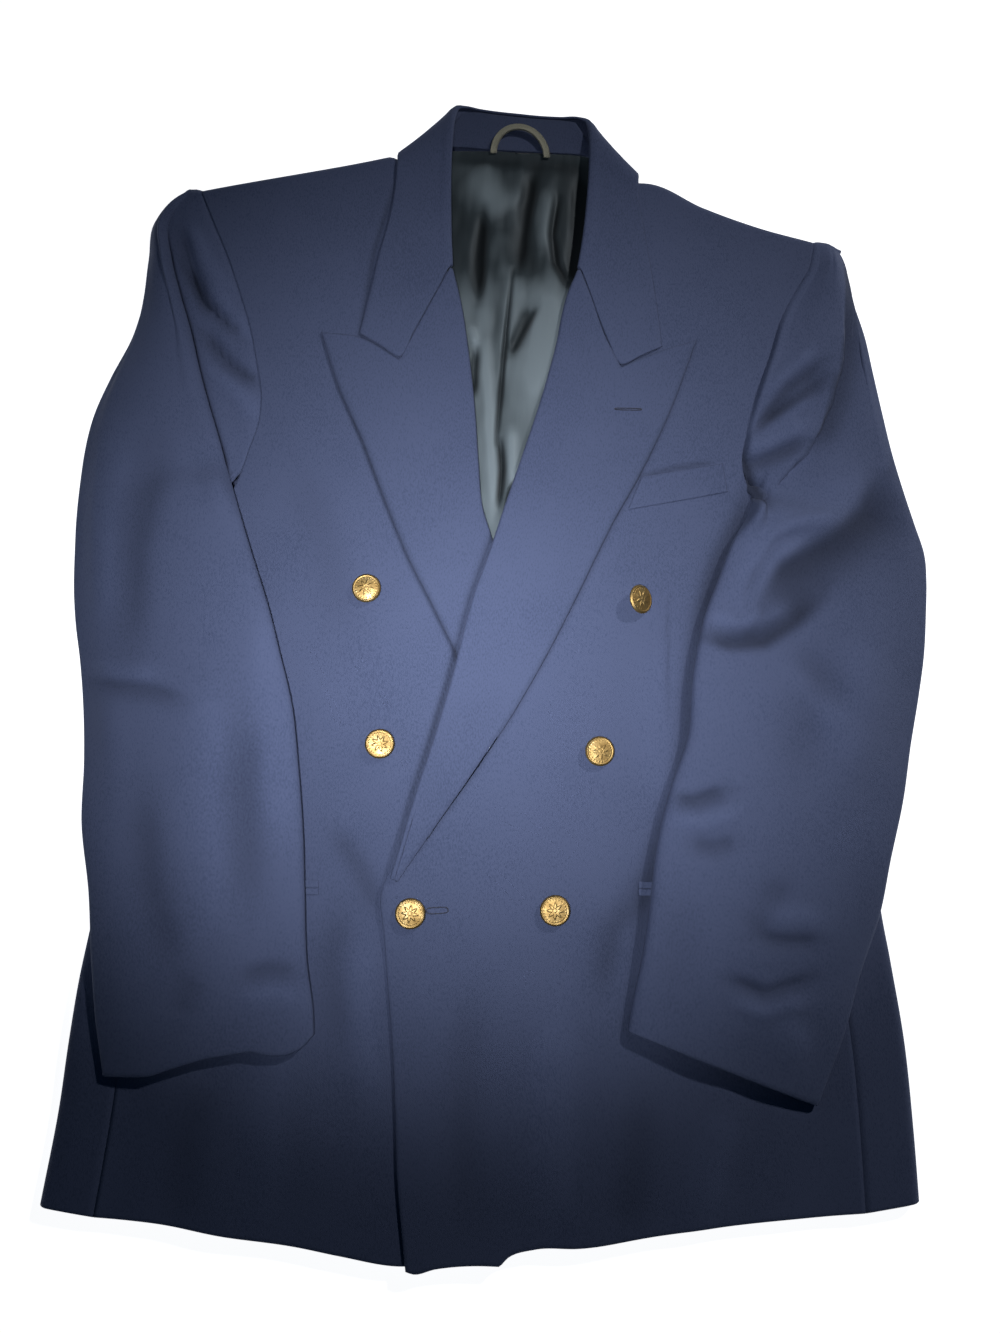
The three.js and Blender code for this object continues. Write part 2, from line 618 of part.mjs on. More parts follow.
const COLLAR_NOTCH_RIGHT = [
  { x: -37, y: 309.5, v: 0 }, { x: -56.6, y: 272.5 }, { x: -75.2, y: 235.6, v: 0.68 },
  { x: -107, y: 254, v: 1 },
];
const NECK_CENTRE = [16, 405, 0];

function collarGrid() {
  const shares = [0.34, 0.68, 1];
  return COLLAR.map((station, j) => {
    const leftSide = j < COLLAR.length / 2;
    const notch = track(leftSide ? COLLAR_NOTCH_LEFT : COLLAR_NOTCH_RIGHT);
    const first = notch(0);
    const last = notch(1);
    const turn = (station.turn * Math.PI) / 180;
    const rz = station.rz || underZ(station.rx, station.ry) + 1.15;
    const ez = station.ez || underZ(station.ex, station.ey) + LAPEL_OVER;
    const roll = [station.rx, station.ry, rz];
    const edge = [station.ex, station.ey, ez];
    const neck = unit([NECK_CENTRE[0] - roll[0], NECK_CENTRE[1] - roll[1], 0]);
    const hidden = unit(along([0, 0, Math.sin(turn)], neck, Math.cos(turn)));
    const level = station.turn === -90 || station.turn === 90;
    const aim = minus(edge, roll);
    if (level) aim[2] = 0;
    const towards = unit(aim);
    const row = rollFold(roll, towards, hidden);
    for (const share of shares) {
      const flat = mix(row[2], edge, share);
      const bow = notch(share);
      const chord = mix([...first, 0], [...last, 0], share);
      const x = flat[0] + (bow[0] - chord[0]) * station.sag;
      const y = flat[1] + (bow[1] - chord[1]) * station.sag;
      let z = flat[2];
      if (station.turn === -90) z = underZ(x, y) + LAPEL_OVER;
      if (station.turn === 90) z = lerp(flat[2], BACK_Z, ease(0, 0.5, share));
      row.push([x, y, z]);
    }
    return row;
  });
}

// Inside of the collar behind the neck, from neck seam to fold
const STAND = [
  { lx: -52, ly: 413, ux: -30, uy: 444, z: 6.2 }, { lx: -34, ly: 415, ux: -20, uy: 445.5, z: 5.4 },
  { lx: -10, ly: 413, ux: -3, uy: 443.5, z: 5.3 }, { lx: 14, ly: 411.5, ux: 14, uy: 441.5, z: 5.3 },
  { lx: 40, ly: 410, ux: 33, uy: 439.5, z: 5.3 }, { lx: 62, ly: 408.5, ux: 48, uy: 438.5, z: 5.4 },
  { lx: 78, ly: 405, ux: 60, uy: 436, z: 6.2 },
];

function standGrid() {
  return [0, 0.33, 0.67, 1].map((share) =>
    STAND.map((row) => [
      lerp(row.lx, row.ux, share),
      lerp(row.ly, row.uy, share),
      row.z + 0.9 * Math.sin(Math.PI * share),
    ])
  );
}

// Lining of the back, which shows between the lapels
const LINING = [
  { y: 411, left: -50, right: 74, calm: 0 }, { y: 396, left: -52, right: 80, calm: 0.35 },
  { y: 372, left: -54, right: 82, calm: 1 }, { y: 344, left: -54, right: 80, calm: 1 },
  { y: 316, left: -54, right: 78, calm: 1 }, { y: 288, left: -50, right: 72, calm: 1 },
  { y: 260, left: -46, right: 64, calm: 1 }, { y: 232, left: -42, right: 56, calm: 1 },
  { y: 204, left: -38, right: 48, calm: 1 }, { y: 176, left: -36, right: 40, calm: 1 },
  { y: 148, left: -34, right: 32, calm: 1 }, { y: 120, left: -32, right: 26, calm: 1 },
  { y: 92, left: -30, right: 22, calm: 0.8 }, { y: 70, left: -30, right: 20, calm: 0.3 },
];

function liningGrid() {
  const columns = 18;
  const seam = track(STAND.map((row) => ({ x: row.lx, y: row.ly })));
  return LINING.map((row) => {
    const points = [];
    for (let i = 0; i <= columns; i++) {
      const x = lerp(row.left, row.right, i / columns);
      const share = clamp((x - STAND[0].lx) / (STAND[STAND.length - 1].lx - STAND[0].lx));
      const y = Math.min(row.y, seam(share)[1] - 1.5);
      const rise = 0.8 * ease(380, 400, y);
      points.push([x, y, LINING_Z + rise + foldHeight(LINING_FOLDS, x, y) * row.calm]);
    }
    return points;
  });
}

// Sleeves: a row for each section from the armhole or inner fold to the outer edge
// a: front armhole, f: front fold, o: outer edge, e: end seam under the sleeve
// cap: 1 in the cap, 0 below the underarm; step: rise from cap to sleeve
// rise: lift of the armhole edge; crown: fullness, where it is less than usual
const SLEEVE_RIGHT = [
  { ax: -231, ay: 367.5, fx: -238, fy: 369, ox: -246, oy: 369.5, ex: -226, ey: 355, cap: 1, step: 0.3,
    rise: -3.5, crown: 1 },
  { ax: -227, ay: 355, fx: -246, fy: 357, ox: -257.5, oy: 358, ex: -224, ey: 347, cap: 1, step: 1.5,
    crown: 3.5 },
  { ax: -220, ay: 338, fx: -254, fy: 339, ox: -268, oy: 342, ex: -220, ey: 334, cap: 1, step: 3,
    crown: 5 },
  { ax: -209, ay: 313, fx: -251, fy: 312, ox: -271, oy: 313, ex: -217, ey: 310, cap: 1, step: 4.5 },
  { ax: -199, ay: 284, fx: -243, fy: 282, ox: -275, oy: 284, ex: -213, ey: 284, cap: 1, step: 5.5 },
  { ax: -191, ay: 258, fx: -235, fy: 256, ox: -282, oy: 254, ex: -210, ey: 256, cap: 1, step: 6 },
  { ax: -184, ay: 227, fx: -227, fy: 224, ox: -297, oy: 220, ex: -208.5, ey: 226, cap: 1, step: 6 },
  { ax: -182, ay: 201, fx: -219, fy: 196, ox: -308, oy: 190, ex: -208, ey: 198, cap: 1, step: 5.5 },
  { ax: -185.6, ay: 178, fx: -211, fy: 171, ox: -313, oy: 163, ex: -211, ey: 174, cap: 1, step: 5 },
  { ax: -190, ay: 159, fx: -205.5, fy: 152, ox: -315, oy: 138, ex: -217, ey: 150, cap: 1, step: 4.5 },
  { ax: -198, ay: 136, fx: -198, fy: 130, ox: -316.5, oy: 113, ex: -262, ey: 126, cap: 0.5, step: 0 },
  { fx: -190, fy: 105, ox: -316.5, oy: 88, cap: 0, step: 0 },
  { fx: -180.5, fy: 76, ox: -315.5, oy: 60, cap: 0, step: 0 },
  { fx: -169, fy: 42, ox: -312.5, oy: 32, cap: 0, step: 0 },
  { fx: -159.5, fy: 8, ox: -307.5, oy: 4, cap: 0, step: 0 },
  { fx: -149.5, fy: -30, ox: -303, oy: -30, cap: 0, step: 0 },
  { fx: -143.5, fy: -74, ox: -298, oy: -70, cap: 0, step: 0 },
  { fx: -139, fy: -118, ox: -294, oy: -114, cap: 0, step: 0 },
  { fx: -136.5, fy: -162, ox: -286, oy: -160, cap: 0, step: 0 },
  { fx: -134, fy: -206, ox: -281.5, oy: -206, cap: 0, step: 0 },
  { fx: -129, fy: -240, ox: -276, oy: -250, cap: 0, step: 0 },
  { fx: -128, fy: -261, ox: -269.5, oy: -283, cap: 0, step: 0 },
];
const SLEEVE_LEFT = [
  { ax: 240.8, ay: 325, fx: 245, fy: 325, ox: 262, oy: 321.5, ex: 236.5, ey: 312, cap: 1, step: 0.3,
    rise: -3.5, crown: 1.5 },
  { ax: 237, ay: 307, fx: 244, fy: 308, ox: 267, oy: 308, ex: 231, ey: 300, cap: 1, step: 0.6,
    crown: 4.5 },
  { ax: 231, ay: 295, fx: 239, fy: 296, ox: 270, oy: 291, ex: 227, ey: 288, cap: 1, step: 1 },
  { ax: 222, ay: 279, fx: 230, fy: 280, ox: 275, oy: 273, ex: 221, ey: 274, cap: 1, step: 1.5 },
  { ax: 213, ay: 261, fx: 221, fy: 261, ox: 280, oy: 254, ex: 216.5, ey: 256, cap: 1, step: 2 },
  { ax: 205, ay: 236, fx: 213, fy: 236, ox: 284.5, oy: 226, ex: 212, ey: 232, cap: 1, step: 2 },
  { ax: 195, ay: 208, fx: 203, fy: 207, ox: 290, oy: 192, ex: 209, ey: 204, cap: 1, step: 2 },
  { ax: 186.5, ay: 180, fx: 195, fy: 178, ox: 296, oy: 158, ex: 208.5, ey: 176, cap: 1, step: 2 },
  { ax: 184.5, ay: 158, fx: 190, fy: 154, ox: 303, oy: 128, ex: 211, ey: 152, cap: 1, step: 2 },
  { ax: 191, ay: 141, fx: 188, fy: 134, ox: 309, oy: 105, ex: 218, ey: 134, cap: 1, step: 2, rise: 2 },
  { ax: 195, ay: 127.5, fx: 185.5, fy: 114, ox: 315, oy: 84, ex: 262, ey: 112, cap: 0.5, step: 0 },
  { fx: 171.5, fy: 90, ox: 316, oy: 64, cap: 0, step: 0 },
  { fx: 160, fy: 62, ox: 314, oy: 38, cap: 0, step: 0 },
  { fx: 148, fy: 31, ox: 311, oy: 10, cap: 0, step: 0 },
  { fx: 139, fy: -10, ox: 305, oy: -22, cap: 0, step: 0 },
  { fx: 134.5, fy: -52, ox: 297, oy: -58, cap: 0, step: 0 },
  { fx: 120.5, fy: -90, ox: 287, oy: -98, cap: 0, step: 0 },
  { fx: 110.5, fy: -128, ox: 273, oy: -138, cap: 0, step: 0 },
  { fx: 104, fy: -172, ox: 262.5, oy: -178, cap: 0, step: 0 },
  { fx: 98, fy: -206, ox: 248, oy: -216, cap: 0, step: 0 },
  { fx: 91, fy: -236, ox: 234, oy: -258, cap: 0, step: 0 },
  { fx: 87.5, fy: -254, ox: 215, oy: -303, cap: 0, step: 0 },
];

// Cap fold of the left sleeve, where the cap steps down to the sleeve
const CAP_FOLD = [
  { y: 320, x: 262 }, { y: 291, x: 262 }, { y: 263, x: 259 }, { y: 229, x: 255 },
  { y: 201, x: 247 }, { y: 174, x: 237 }, { y: 158, x: 227 }, { y: 144, x: 213 }, { y: 134, x: 205 },
].reverse();

function sleeveCrown(share) {
  return Math.pow(Math.sin(Math.PI * clamp(share)), 0.75);
}

// Height of the front that a sleeve lies on
const baseZ = (side, x, y) => (side > 0 ? topZ(x, y) : underZ(x, y));

// Height of a sleeve's lower side: over the front, down past the side, flat under the cap
function lowAt(side, row, x, y) {
  if (row.cap > 0) return BACK_Z;
  const silhouette = side > 0 ? SIDE_LEFT : SIDE_RIGHT;
  const hang = side * (row.ox - sideX(silhouette, row.oy));
  const over = baseZ(side, x, y) + SLEEVE_OVER;
  const edge = lerp(over, BACK_Z, ease(12, 30, hang));
  const past = side * (x - sideX(silhouette, y));
  return lerp(over, edge, ease(2.5, Math.max(hang - 6, 10), past));
}

// Height of a sleeve's upper side at a share of its width
function sleeveTop(side, row, share, x, y) {
  const inner = row.cap === 1
    ? baseZ(side, row.ax, row.ay) + row.step + Math.min(row.rise || 0, 0)
    : baseZ(side, row.fx, row.fy) + SLEEVE_OVER + INNER_FOLD_DEPTH;
  const outer = lowAt(side, row, row.ox, row.oy) + OUTER_FOLD_DEPTH + 2.5 * row.cap;
  const crown = row.crown || lerp(7, 6.5, row.cap);
  let z = lerp(inner, outer, Math.pow(share, 1.5)) + crown * sleeveCrown(share);
  z += foldHeight(SLEEVE_FOLDS, x, y) * ease(0, 0.15, share) * (1 - ease(0.88, 1, share));
  if (side > 0 && row.cap > 0) {
    const beyond = x - sideX(CAP_FOLD, y);
    const fade = ease(126, 150, y) * (1 - ease(285, 318, y));
    z += fade * (2.2 - 5.2 * ease(-2, 3, beyond) + 3.4 * ease(3, 26, beyond));
  }
  if (row.cap === 0) z = Math.max(z, lowAt(side, row, x, y) + 6);
  return z;
}

// One section of a sleeve, split into its upper and lower pieces
function sleeveSection(side, row) {
  const out = unit([row.ox - row.fx, row.oy - row.fy, 0]);
  const width = Math.hypot(row.ox - row.fx, row.oy - row.fy);
  const low = lowAt(side, row, row.ox, row.oy);
  const upper = [];
  const under = baseZ(side, row.fx, row.fy) + SLEEVE_OVER;
  if (row.cap === 1) {
    const za = baseZ(side, row.ax, row.ay) + (row.rise || 0);
    const a = [row.ax, row.ay, za];
    const f = [row.fx, row.fy, za + row.step];
    const near = side < 0 ? 0.9 : 0.6;
    for (const share of [0, 0.34, 0.67]) {
      const p = mix(a, [f[0], f[1], za], share);
      const wave = foldHeight(SLEEVE_FOLDS, p[0], p[1]) * Math.sin(Math.PI * share);
      const hump = side > 0 ? row.step * share : -0.8 * Math.sin(Math.PI * share);
      upper.push([p[0], p[1], p[2] + hump + wave]);
    }
    const tuck = mix(a, f, near);
    upper.push(side < 0
      ? [row.fx - out[0] * 0.6, row.fy - out[1] * 0.6, za + row.step * 0.12]
      : [tuck[0], tuck[1], tuck[2] + 0.3]);
  } else if (row.cap > 0) {
    upper.push([row.ax + out[0] * 3, row.ay + out[1] * 3, under - 0.2]);
    upper.push([row.fx + out[0] * 2.4, row.fy + out[1] * 2.4, under + 0.1]);
    upper.push([row.fx + out[0] * 1.0, row.fy + out[1] * 1.0, under + 0.9]);
    upper.push([row.fx, row.fy, under + INNER_FOLD_DEPTH * 0.45]);
  } else {
    const half = INNER_FOLD_DEPTH / 2;
    for (const depth of [SLEEVE_SEAM, 10]) {
      const x = row.fx + out[0] * depth;
      const y = row.fy + out[1] * depth;
      upper.push([x, y, baseZ(side, x, y) + SLEEVE_OVER]);
    }
    upper.push([row.fx + out[0] * 1.3, row.fy + out[1] * 1.3, under + half * 0.35]);
    upper.push([row.fx, row.fy, under + half]);
  }
  const cut = side > 0 && row.cap > 0
    ? clamp((sideX(CAP_FOLD, row.fy) - row.fx) / (row.ox - row.fx))
    : 0.3;
  const gap = 2.6 / width;
  const shares = side > 0
    ? [2 / width, cut * 0.5, Math.min(cut - gap, 0.8), Math.min(cut + gap, 0.86),
      lerp(cut, 1, 0.38), lerp(cut, 1, 0.68)]
    : [Math.min(3 / width, 0.2), 0.2, 0.38, 0.56, 0.72, 0.85];
  shares.sort((a, b) => a - b);
  for (const share of shares) {
    const x = lerp(row.fx, row.ox, share);
    const y = lerp(row.fy, row.oy, share);
    upper.push([x, y, sleeveTop(side, row, share, x, y)]);
  }
  const edgeTop = sleeveTop(side, row, 1, row.ox, row.oy);
  const half = (edgeTop - low) / 2;
  const bulge = Math.min(5.5, width * 0.2);
  for (const angle of [75, 30, -10, -50, -90]) {
    const turn = (angle * Math.PI) / 180;
    const back = 1 + bulge - bulge * Math.cos(turn);
    upper.push([
      row.ox - out[0] * back,
      row.oy - out[1] * back,
      low + half + half * Math.sin(turn),
    ]);
  }
  const last = upper[upper.length - 1];
  if (row.cap > 0) {
    const end = [row.ex, row.ey, BACK_Z];
    upper.push(mix(last, end, 0.5), end);
    return upper;
  }
  const silhouette = side > 0 ? SIDE_LEFT : SIDE_RIGHT;
  const past = side * (last[0] - sideX(silhouette, last[1])) - 2.5;
  const reach = SLEEVE_SEAM - 1 - bulge;
  for (const depth of [past > 1.5 && past < reach - 1.5 ? past : reach / 2, reach]) {
    const x = last[0] - out[0] * depth;
    const y = last[1] - out[1] * depth;
    upper.push([x, y, lowAt(side, row, x, y)]);
  }
  return upper;
}

function sleeveTopGrid(side, table) {
  return table.map((row) => sleeveSection(side, row));
}

// Under sleeve: lies on the front, then drops past the side to the table
function underSleeveGrid(side, table) {
  const silhouette = side > 0 ? SIDE_LEFT : SIDE_RIGHT;
  return table.filter((row) => row.cap < 1).map((row) => {
    const section = sleeveSection(side, row);
    const start = section[0];
    const end = section[section.length - 1];
    const wide = end[0] - start[0];
    const crossing = (sideX(silhouette, end[1]) + side * 2.5 - start[0]) / wide;
    const cut = crossing < 0.96 ? crossing : 0.7;
    return [0, cut / 3, (2 * cut) / 3, cut, lerp(cut, 1, 0.5), 1].map((share) => {
      const p = mix(start, end, share);
      const flat = row.cap > 0
        ? lerp(baseZ(side, p[0], p[1]) + SLEEVE_OVER, BACK_Z, ease(cut, 1, share))
        : lowAt(side, row, p[0], p[1]);
      return [p[0], p[1], share === 0 ? start[2] : flat];
    });
  });
}

// Strips laid on a front, by their corners: outer ends 1 to 2 below, 3 to 4 above
const POCKETS = [
  { name: "breast_welt", x1: 94.5, y1: 114.8, x2: 169, y2: 129.5, x3: 105.5, y3: 141, x4: 166,
    y4: 151.5, rows: 2, cols: 6, on: topZ },
  { name: "pocket_jet_left_upper", x1: 97, y1: -159, x2: 234, y2: -160, x3: 97, y3: -154.3,
    x4: 234, y4: -155.3, rows: 1, cols: 9, on: topZ },
  { name: "pocket_jet_left_lower", x1: 97, y1: -164, x2: 234, y2: -165, x3: 97, y3: -159.4,
    x4: 234, y4: -160.4, rows: 1, cols: 9, on: topZ },
  { name: "pocket_jet_right_upper", x1: -127, y1: -158.4, x2: -250, y2: -159.4, x3: -127,
    y3: -153.7, x4: -250, y4: -154.7, rows: 1, cols: 9, on: underZ },
  { name: "pocket_jet_right_lower", x1: -127, y1: -163.4, x2: -250, y2: -164.4, x3: -127,
    y3: -158.8, x4: -250, y4: -159.8, rows: 1, cols: 9, on: underZ },
];

function stripGrid(strip) {
  const grid = [];
  for (let j = 0; j <= strip.rows; j++) {
    const start = mix([strip.x1, strip.y1], [strip.x3, strip.y3], j / strip.rows);
    const end = mix([strip.x2, strip.y2], [strip.x4, strip.y4], j / strip.rows);
    const row = [];
    for (let i = 0; i <= strip.cols; i++) {
      const [x, y] = mix(start, end, i / strip.cols);
      row.push([x, y, strip.on(x, y) + WALL / 2 + 0.45 + TRIM_WALL / 2]);
    }
    grid.push(row);
  }
  return grid;
}

// Hanging loop: a half ring of strap that stands a little off the collar
function loopGrid() {
  const steps = 12;
  const grid = [[], []];
  for (let i = 0; i <= steps; i++) {
    const turn = Math.PI * (1 - i / steps);
    const cx = 15.8;
    const cy = 406.5 - 0.09 * (22 * Math.cos(turn));
    const z = 7.6 + LOOP_RISE * Math.sin(turn);
    [-0.5, 0.5].forEach((side, k) => {
      const rx = 21 + side * LOOP_WIDTH;
      const ry = 21.5 + side * LOOP_WIDTH;
      grid[k].push([cx + rx * Math.cos(turn), cy + ry * Math.sin(turn), z]);
    });
  }
  return grid;
}

// Buttons: where each sits, and how far it is tipped about the photo's upright
const BUTTONS = [
  { name: "button_right_upper", x: -97.5, y: 55.5, tilt: 0, on: underZ },
  { name: "button_right_middle", x: -86, y: -58, tilt: 6, on: underZ },
  { name: "button_right_lower", x: -62, y: -175.6, tilt: 0, on: topZ },
  { name: "button_left_upper", x: 99.5, y: 46, tilt: 36, on: topZ },
  { name: "button_left_middle", x: 70, y: -63.6, tilt: 8, on: topZ },
  { name: "button_left_lower", x: 38, y: -173.6, tilt: 0, on: topZ },
];

function buttonBody(button) {
  const profile = [
    { r: SHANK_RADIUS, z: 0 },
    { r: SHANK_RADIUS, z: SHANK_HEIGHT },
    { r: BUTTON_RADIUS - 1, z: SHANK_HEIGHT },
    { r: BUTTON_RADIUS, z: SHANK_HEIGHT + BUTTON_EDGE * 0.5 },
    { r: BUTTON_RADIUS - 0.8, z: SHANK_HEIGHT + BUTTON_EDGE },
    { r: BUTTON_RADIUS * 0.62, z: SHANK_HEIGHT + BUTTON_EDGE + BUTTON_DOME * 0.7 },
  ];
  const sides = 16;
  const tilt = (button.tilt * Math.PI) / 180;
  const tip = SHANK_HEIGHT + BUTTON_EDGE + BUTTON_DOME;
  const lift = BUTTON_RADIUS * Math.sin(tilt) * 0.62;
  const base = button.on(button.x, button.y) + WALL / 2 + 0.4;
  const place = (x, y, z) => {
    const tx = x * Math.cos(tilt) + z * Math.sin(tilt);
    const tz = z * Math.cos(tilt) - x * Math.sin(tilt);
    return [button.x + tx, button.y + y, base + lift + tz];
  };
  const foot = (x, y) => [button.x + x, button.y + y, base];
  const position = [...foot(0, 0), ...place(0, 0, tip)];
  profile.forEach((ring) => {
    for (let k = 0; k < sides; k++) {
      const turn = (2 * Math.PI * k) / sides;
      const x = ring.r * Math.cos(turn);
      const y = ring.r * Math.sin(turn);
      position.push(...(ring.z === 0 ? foot(x, y) : place(x, y, ring.z)));
    }
  });
  const id = (ring, k) => 2 + ring * sides + (k % sides);
  const index = [];
  for (let k = 0; k < sides; k++) {
    index.push(0, id(0, k + 1), id(0, k));
    index.push(1, id(profile.length - 1, k), id(profile.length - 1, k + 1));
    for (let ring = 0; ring < profile.length - 1; ring++) {
      index.push(id(ring, k), id(ring, k + 1), id(ring + 1, k + 1));
      index.push(id(ring, k), id(ring + 1, k + 1), id(ring + 1, k));
    }
  }
  return closedBody(position, index);
}

const finish = (color, roughness, metalness) =>
  new THREE.MeshStandardMaterial({ color, roughness, metalness });
const WOOL = finish(0x2c3552, 0.9, 0);
const SATIN = finish(0x5d666b, 0.4, 0);
const BRASS = finish(0xc99f55, 0.35, 1);
const STRAP = finish(0x7b7866, 0.7, 0);

const HALF_GAP = SEAM_GAP / 2;
const group = new THREE.Group();
function add(name, geometry, material) {
  const mesh = new THREE.Mesh(geometry, material);
  mesh.name = name;
  group.add(mesh);
}

const backEdges = { left: HALF_GAP + 0.1, right: HALF_GAP, top: HALF_GAP + 0.2 };
add("back_right", wall(inset(backGrid(BACK_RIGHT), backEdges), WALL, true), WOOL);
add("back_left", wall(inset(backGrid(BACK_LEFT), backEdges), WALL, true), WOOL);
const sideEdges = { left: HALF_GAP, right: HALF_GAP, top: 0.5 };
add("side_right", wall(inset(sideGrid(SIDE_RIGHT, -1, underZ), sideEdges), WALL), WOOL);
add("side_left", wall(inset(sideGrid(SIDE_LEFT, 1, topZ), sideEdges), WALL), WOOL);
const frontEdges = { right: HALF_GAP, top: HALF_GAP };
add("front_right", wall(inset(frontRightGrid(), frontEdges), WALL), WOOL);
add("front_left", wall(inset(frontLeftGrid(), frontEdges), WALL), WOOL);
const lapelRight = lapelGrid(LAPEL_RIGHT, -1, underZ, 0);
const lapelLeft = lapelGrid(LAPEL_LEFT, 1, topZ, LEFT_LAPEL_LOFT);
add("lapel_right", wall(inset(lapelRight, { bottom: 0.4 }), LAPEL_WALL), WOOL);
add("lapel_left", wall(inset(lapelLeft, { bottom: 0.4 }), LAPEL_WALL), WOOL);
add("collar", wall(inset(collarGrid(), { bottom: 0.3, top: 0.3 }), WALL), WOOL);
add("collar_stand", wall(standGrid(), WALL * 0.7), WOOL);
add("back_lining", wall(liningGrid(), LINING_WALL, true), SATIN);
const sleeveEdges = { left: 0.7, right: 1.1, bottom: 0.5 };
add("sleeve_right_top", wall(inset(sleeveTopGrid(-1, SLEEVE_RIGHT), sleeveEdges), WALL), WOOL);
add("sleeve_left_top", wall(inset(sleeveTopGrid(1, SLEEVE_LEFT), sleeveEdges), WALL), WOOL);
const underEdges = { left: 1.5, right: 1.6 };
const underRight = underSleeveGrid(-1, SLEEVE_RIGHT);
const underLeft = underSleeveGrid(1, SLEEVE_LEFT);
add("sleeve_right_under", wall(inset(underRight, underEdges), WALL), WOOL);
add("sleeve_left_under", wall(inset(underLeft, underEdges), WALL), WOOL);
for (const strip of POCKETS) add(strip.name, wall(stripGrid(strip), TRIM_WALL, true), WOOL);
add("hanging_loop", wall(loopGrid(), 1.2, true), STRAP);
for (const button of BUTTONS) add(button.name, buttonBody(button), BRASS);

// Stands the part on the table, centred on its own plan
const box = new THREE.Box3().setFromObject(group);
const middle = box.getCenter(new THREE.Vector3());
group.children.forEach((mesh) => mesh.geometry.translate(-middle.x, -middle.y, -box.min.z));

export default group;
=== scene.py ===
# Double breasted blazer laid flat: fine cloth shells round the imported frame.
# Lengths in the tables are millimetres in the part's drawing frame: X to the right,
# Y from hem to collar, Z up from the table. Left and right are the wearer's.
import math

import bpy
import numpy as np
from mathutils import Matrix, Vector


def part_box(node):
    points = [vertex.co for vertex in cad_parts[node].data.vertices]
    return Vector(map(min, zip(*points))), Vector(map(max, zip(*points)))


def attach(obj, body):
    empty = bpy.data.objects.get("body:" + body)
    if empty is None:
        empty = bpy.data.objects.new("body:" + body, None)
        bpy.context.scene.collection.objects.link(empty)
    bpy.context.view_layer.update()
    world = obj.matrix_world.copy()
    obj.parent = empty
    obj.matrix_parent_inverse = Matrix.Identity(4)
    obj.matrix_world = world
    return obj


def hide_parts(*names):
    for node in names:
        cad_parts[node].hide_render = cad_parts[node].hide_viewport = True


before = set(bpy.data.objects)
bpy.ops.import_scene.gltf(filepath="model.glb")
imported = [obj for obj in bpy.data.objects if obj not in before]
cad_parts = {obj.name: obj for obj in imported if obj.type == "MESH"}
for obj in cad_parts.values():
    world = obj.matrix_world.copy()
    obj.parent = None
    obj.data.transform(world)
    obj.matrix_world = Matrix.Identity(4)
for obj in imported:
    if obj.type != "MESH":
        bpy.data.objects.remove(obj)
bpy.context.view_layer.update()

MM = 0.001

# Where the drawing's origin lies in the shared frame, from one button's centre
KEY_BUTTON = (-62.0, -175.6)
low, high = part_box("button_right_lower")
SHIFT_X, SHIFT_Y = ((low[k] + high[k]) / 2 / MM - KEY_BUTTON[k] for k in (0, 1))

# ---- camera
CAMERA_DISTANCE = 741.0
CAMERA_TILT = math.radians(8.6)
SENSOR = 36
CAMERA_LENS = SENSOR * 1007 / 1333  # focal length and width of the photograph in pixels
camera_data = bpy.data.cameras.new("camera")
camera_data.lens = CAMERA_LENS
camera_data.sensor_width = SENSOR
camera_data.clip_start = 0.01
camera = bpy.data.objects.new("camera", camera_data)
bpy.context.scene.collection.objects.link(camera)
camera.location = (SHIFT_X * MM, (SHIFT_Y - CAMERA_DISTANCE * math.sin(CAMERA_TILT)) * MM,
                   CAMERA_DISTANCE * math.cos(CAMERA_TILT) * MM)
camera.rotation_euler = (CAMERA_TILT, 0, 0)
bpy.context.scene.camera = camera

# ---- sizes
WALL = 2.0  # cloth shells
LAPEL_WALL = 2.2
LINING_WALL = 0.9
STAND_WALL = WALL * 0.7
TRIM_WALL = 1.0
STRAP_WALL = 1.1
EDGE_SHARE = 0.18  # half the thickness left at a rounded edge, as a share of the wall
BACK_Z = 1.0  # the middle of each layer's wall
FRONT_Z = 10.5
LINING_Z = 5.4
OVERLAP_LIFT = 2.7  # of the left front over the right one
LAPEL_LIFT = 2.3  # and over its lapel
LAPEL_OVER = 2.5  # a lapel or the collar over its front
LEFT_LAPEL_LOFT = 0.7
LAPEL_ROLL_LIFT = 1.05  # middle of the roll over the front
COLLAR_ROLL_LIFT = 1.15
SLEEVE_OVER = 3.7
SHOULDER_RISE = 8.5
ROLL_RADIUS = 1.4
ROLL_SETBACK = 4.4
SIDE_SEAM_UPPER = 38  # from the silhouette to the side seam, in front
SIDE_SEAM_LOWER = 34  # and at the back
SHOULDER_BULGE = 6
SHOULDER_TURN = 8
INNER_ROLL = {-1: 6.6, 1: 9.5}  # height of a sleeve's inner fold
OUTER_FOLD_DEPTH = 6.5
SLEEVE_SEAM = 18
HEM_DROP = 6.4
UNDERARM = 0.6  # share of a side line below the armhole
SEAM = 0.18

# ---- tables
# Points are (x, y) or (x, y, share of the line)
SIDE_RIGHT = [(-310.5, -368.5, 0), (-302, -308), (-298, -265), (-293, -220), (-286.5, -179),
              (-285, -168, 0.5), (-279, -110), (-272, -30), (-266, 50), (-262, 108, 1)]
SIDE_LEFT = [(283, -366, 0), (282, -321), (279, -262), (272.6, -208), (267.4, -168, 0.5),
             (265, -100), (264, -40), (262, 50), (260, 98, 1)]
HEM_LEFT = [(-62.7, -407.5), (-58, -409), (-43, -406), (-15, -404), (0, -404.5), (4.6, -399.6),
            (23.3, -394.1), (52, -393.5), (106, -386), (169, -378.6), (245, -372.4)]
HEM_RIGHT = [(50, -391), (20, -392), (-10, -400), (-40, -403), (-65, -405.3), (-107, -399),
             (-134, -393.8), (-183, -387), (-232, -378.5), (-272.5, -374.9)]
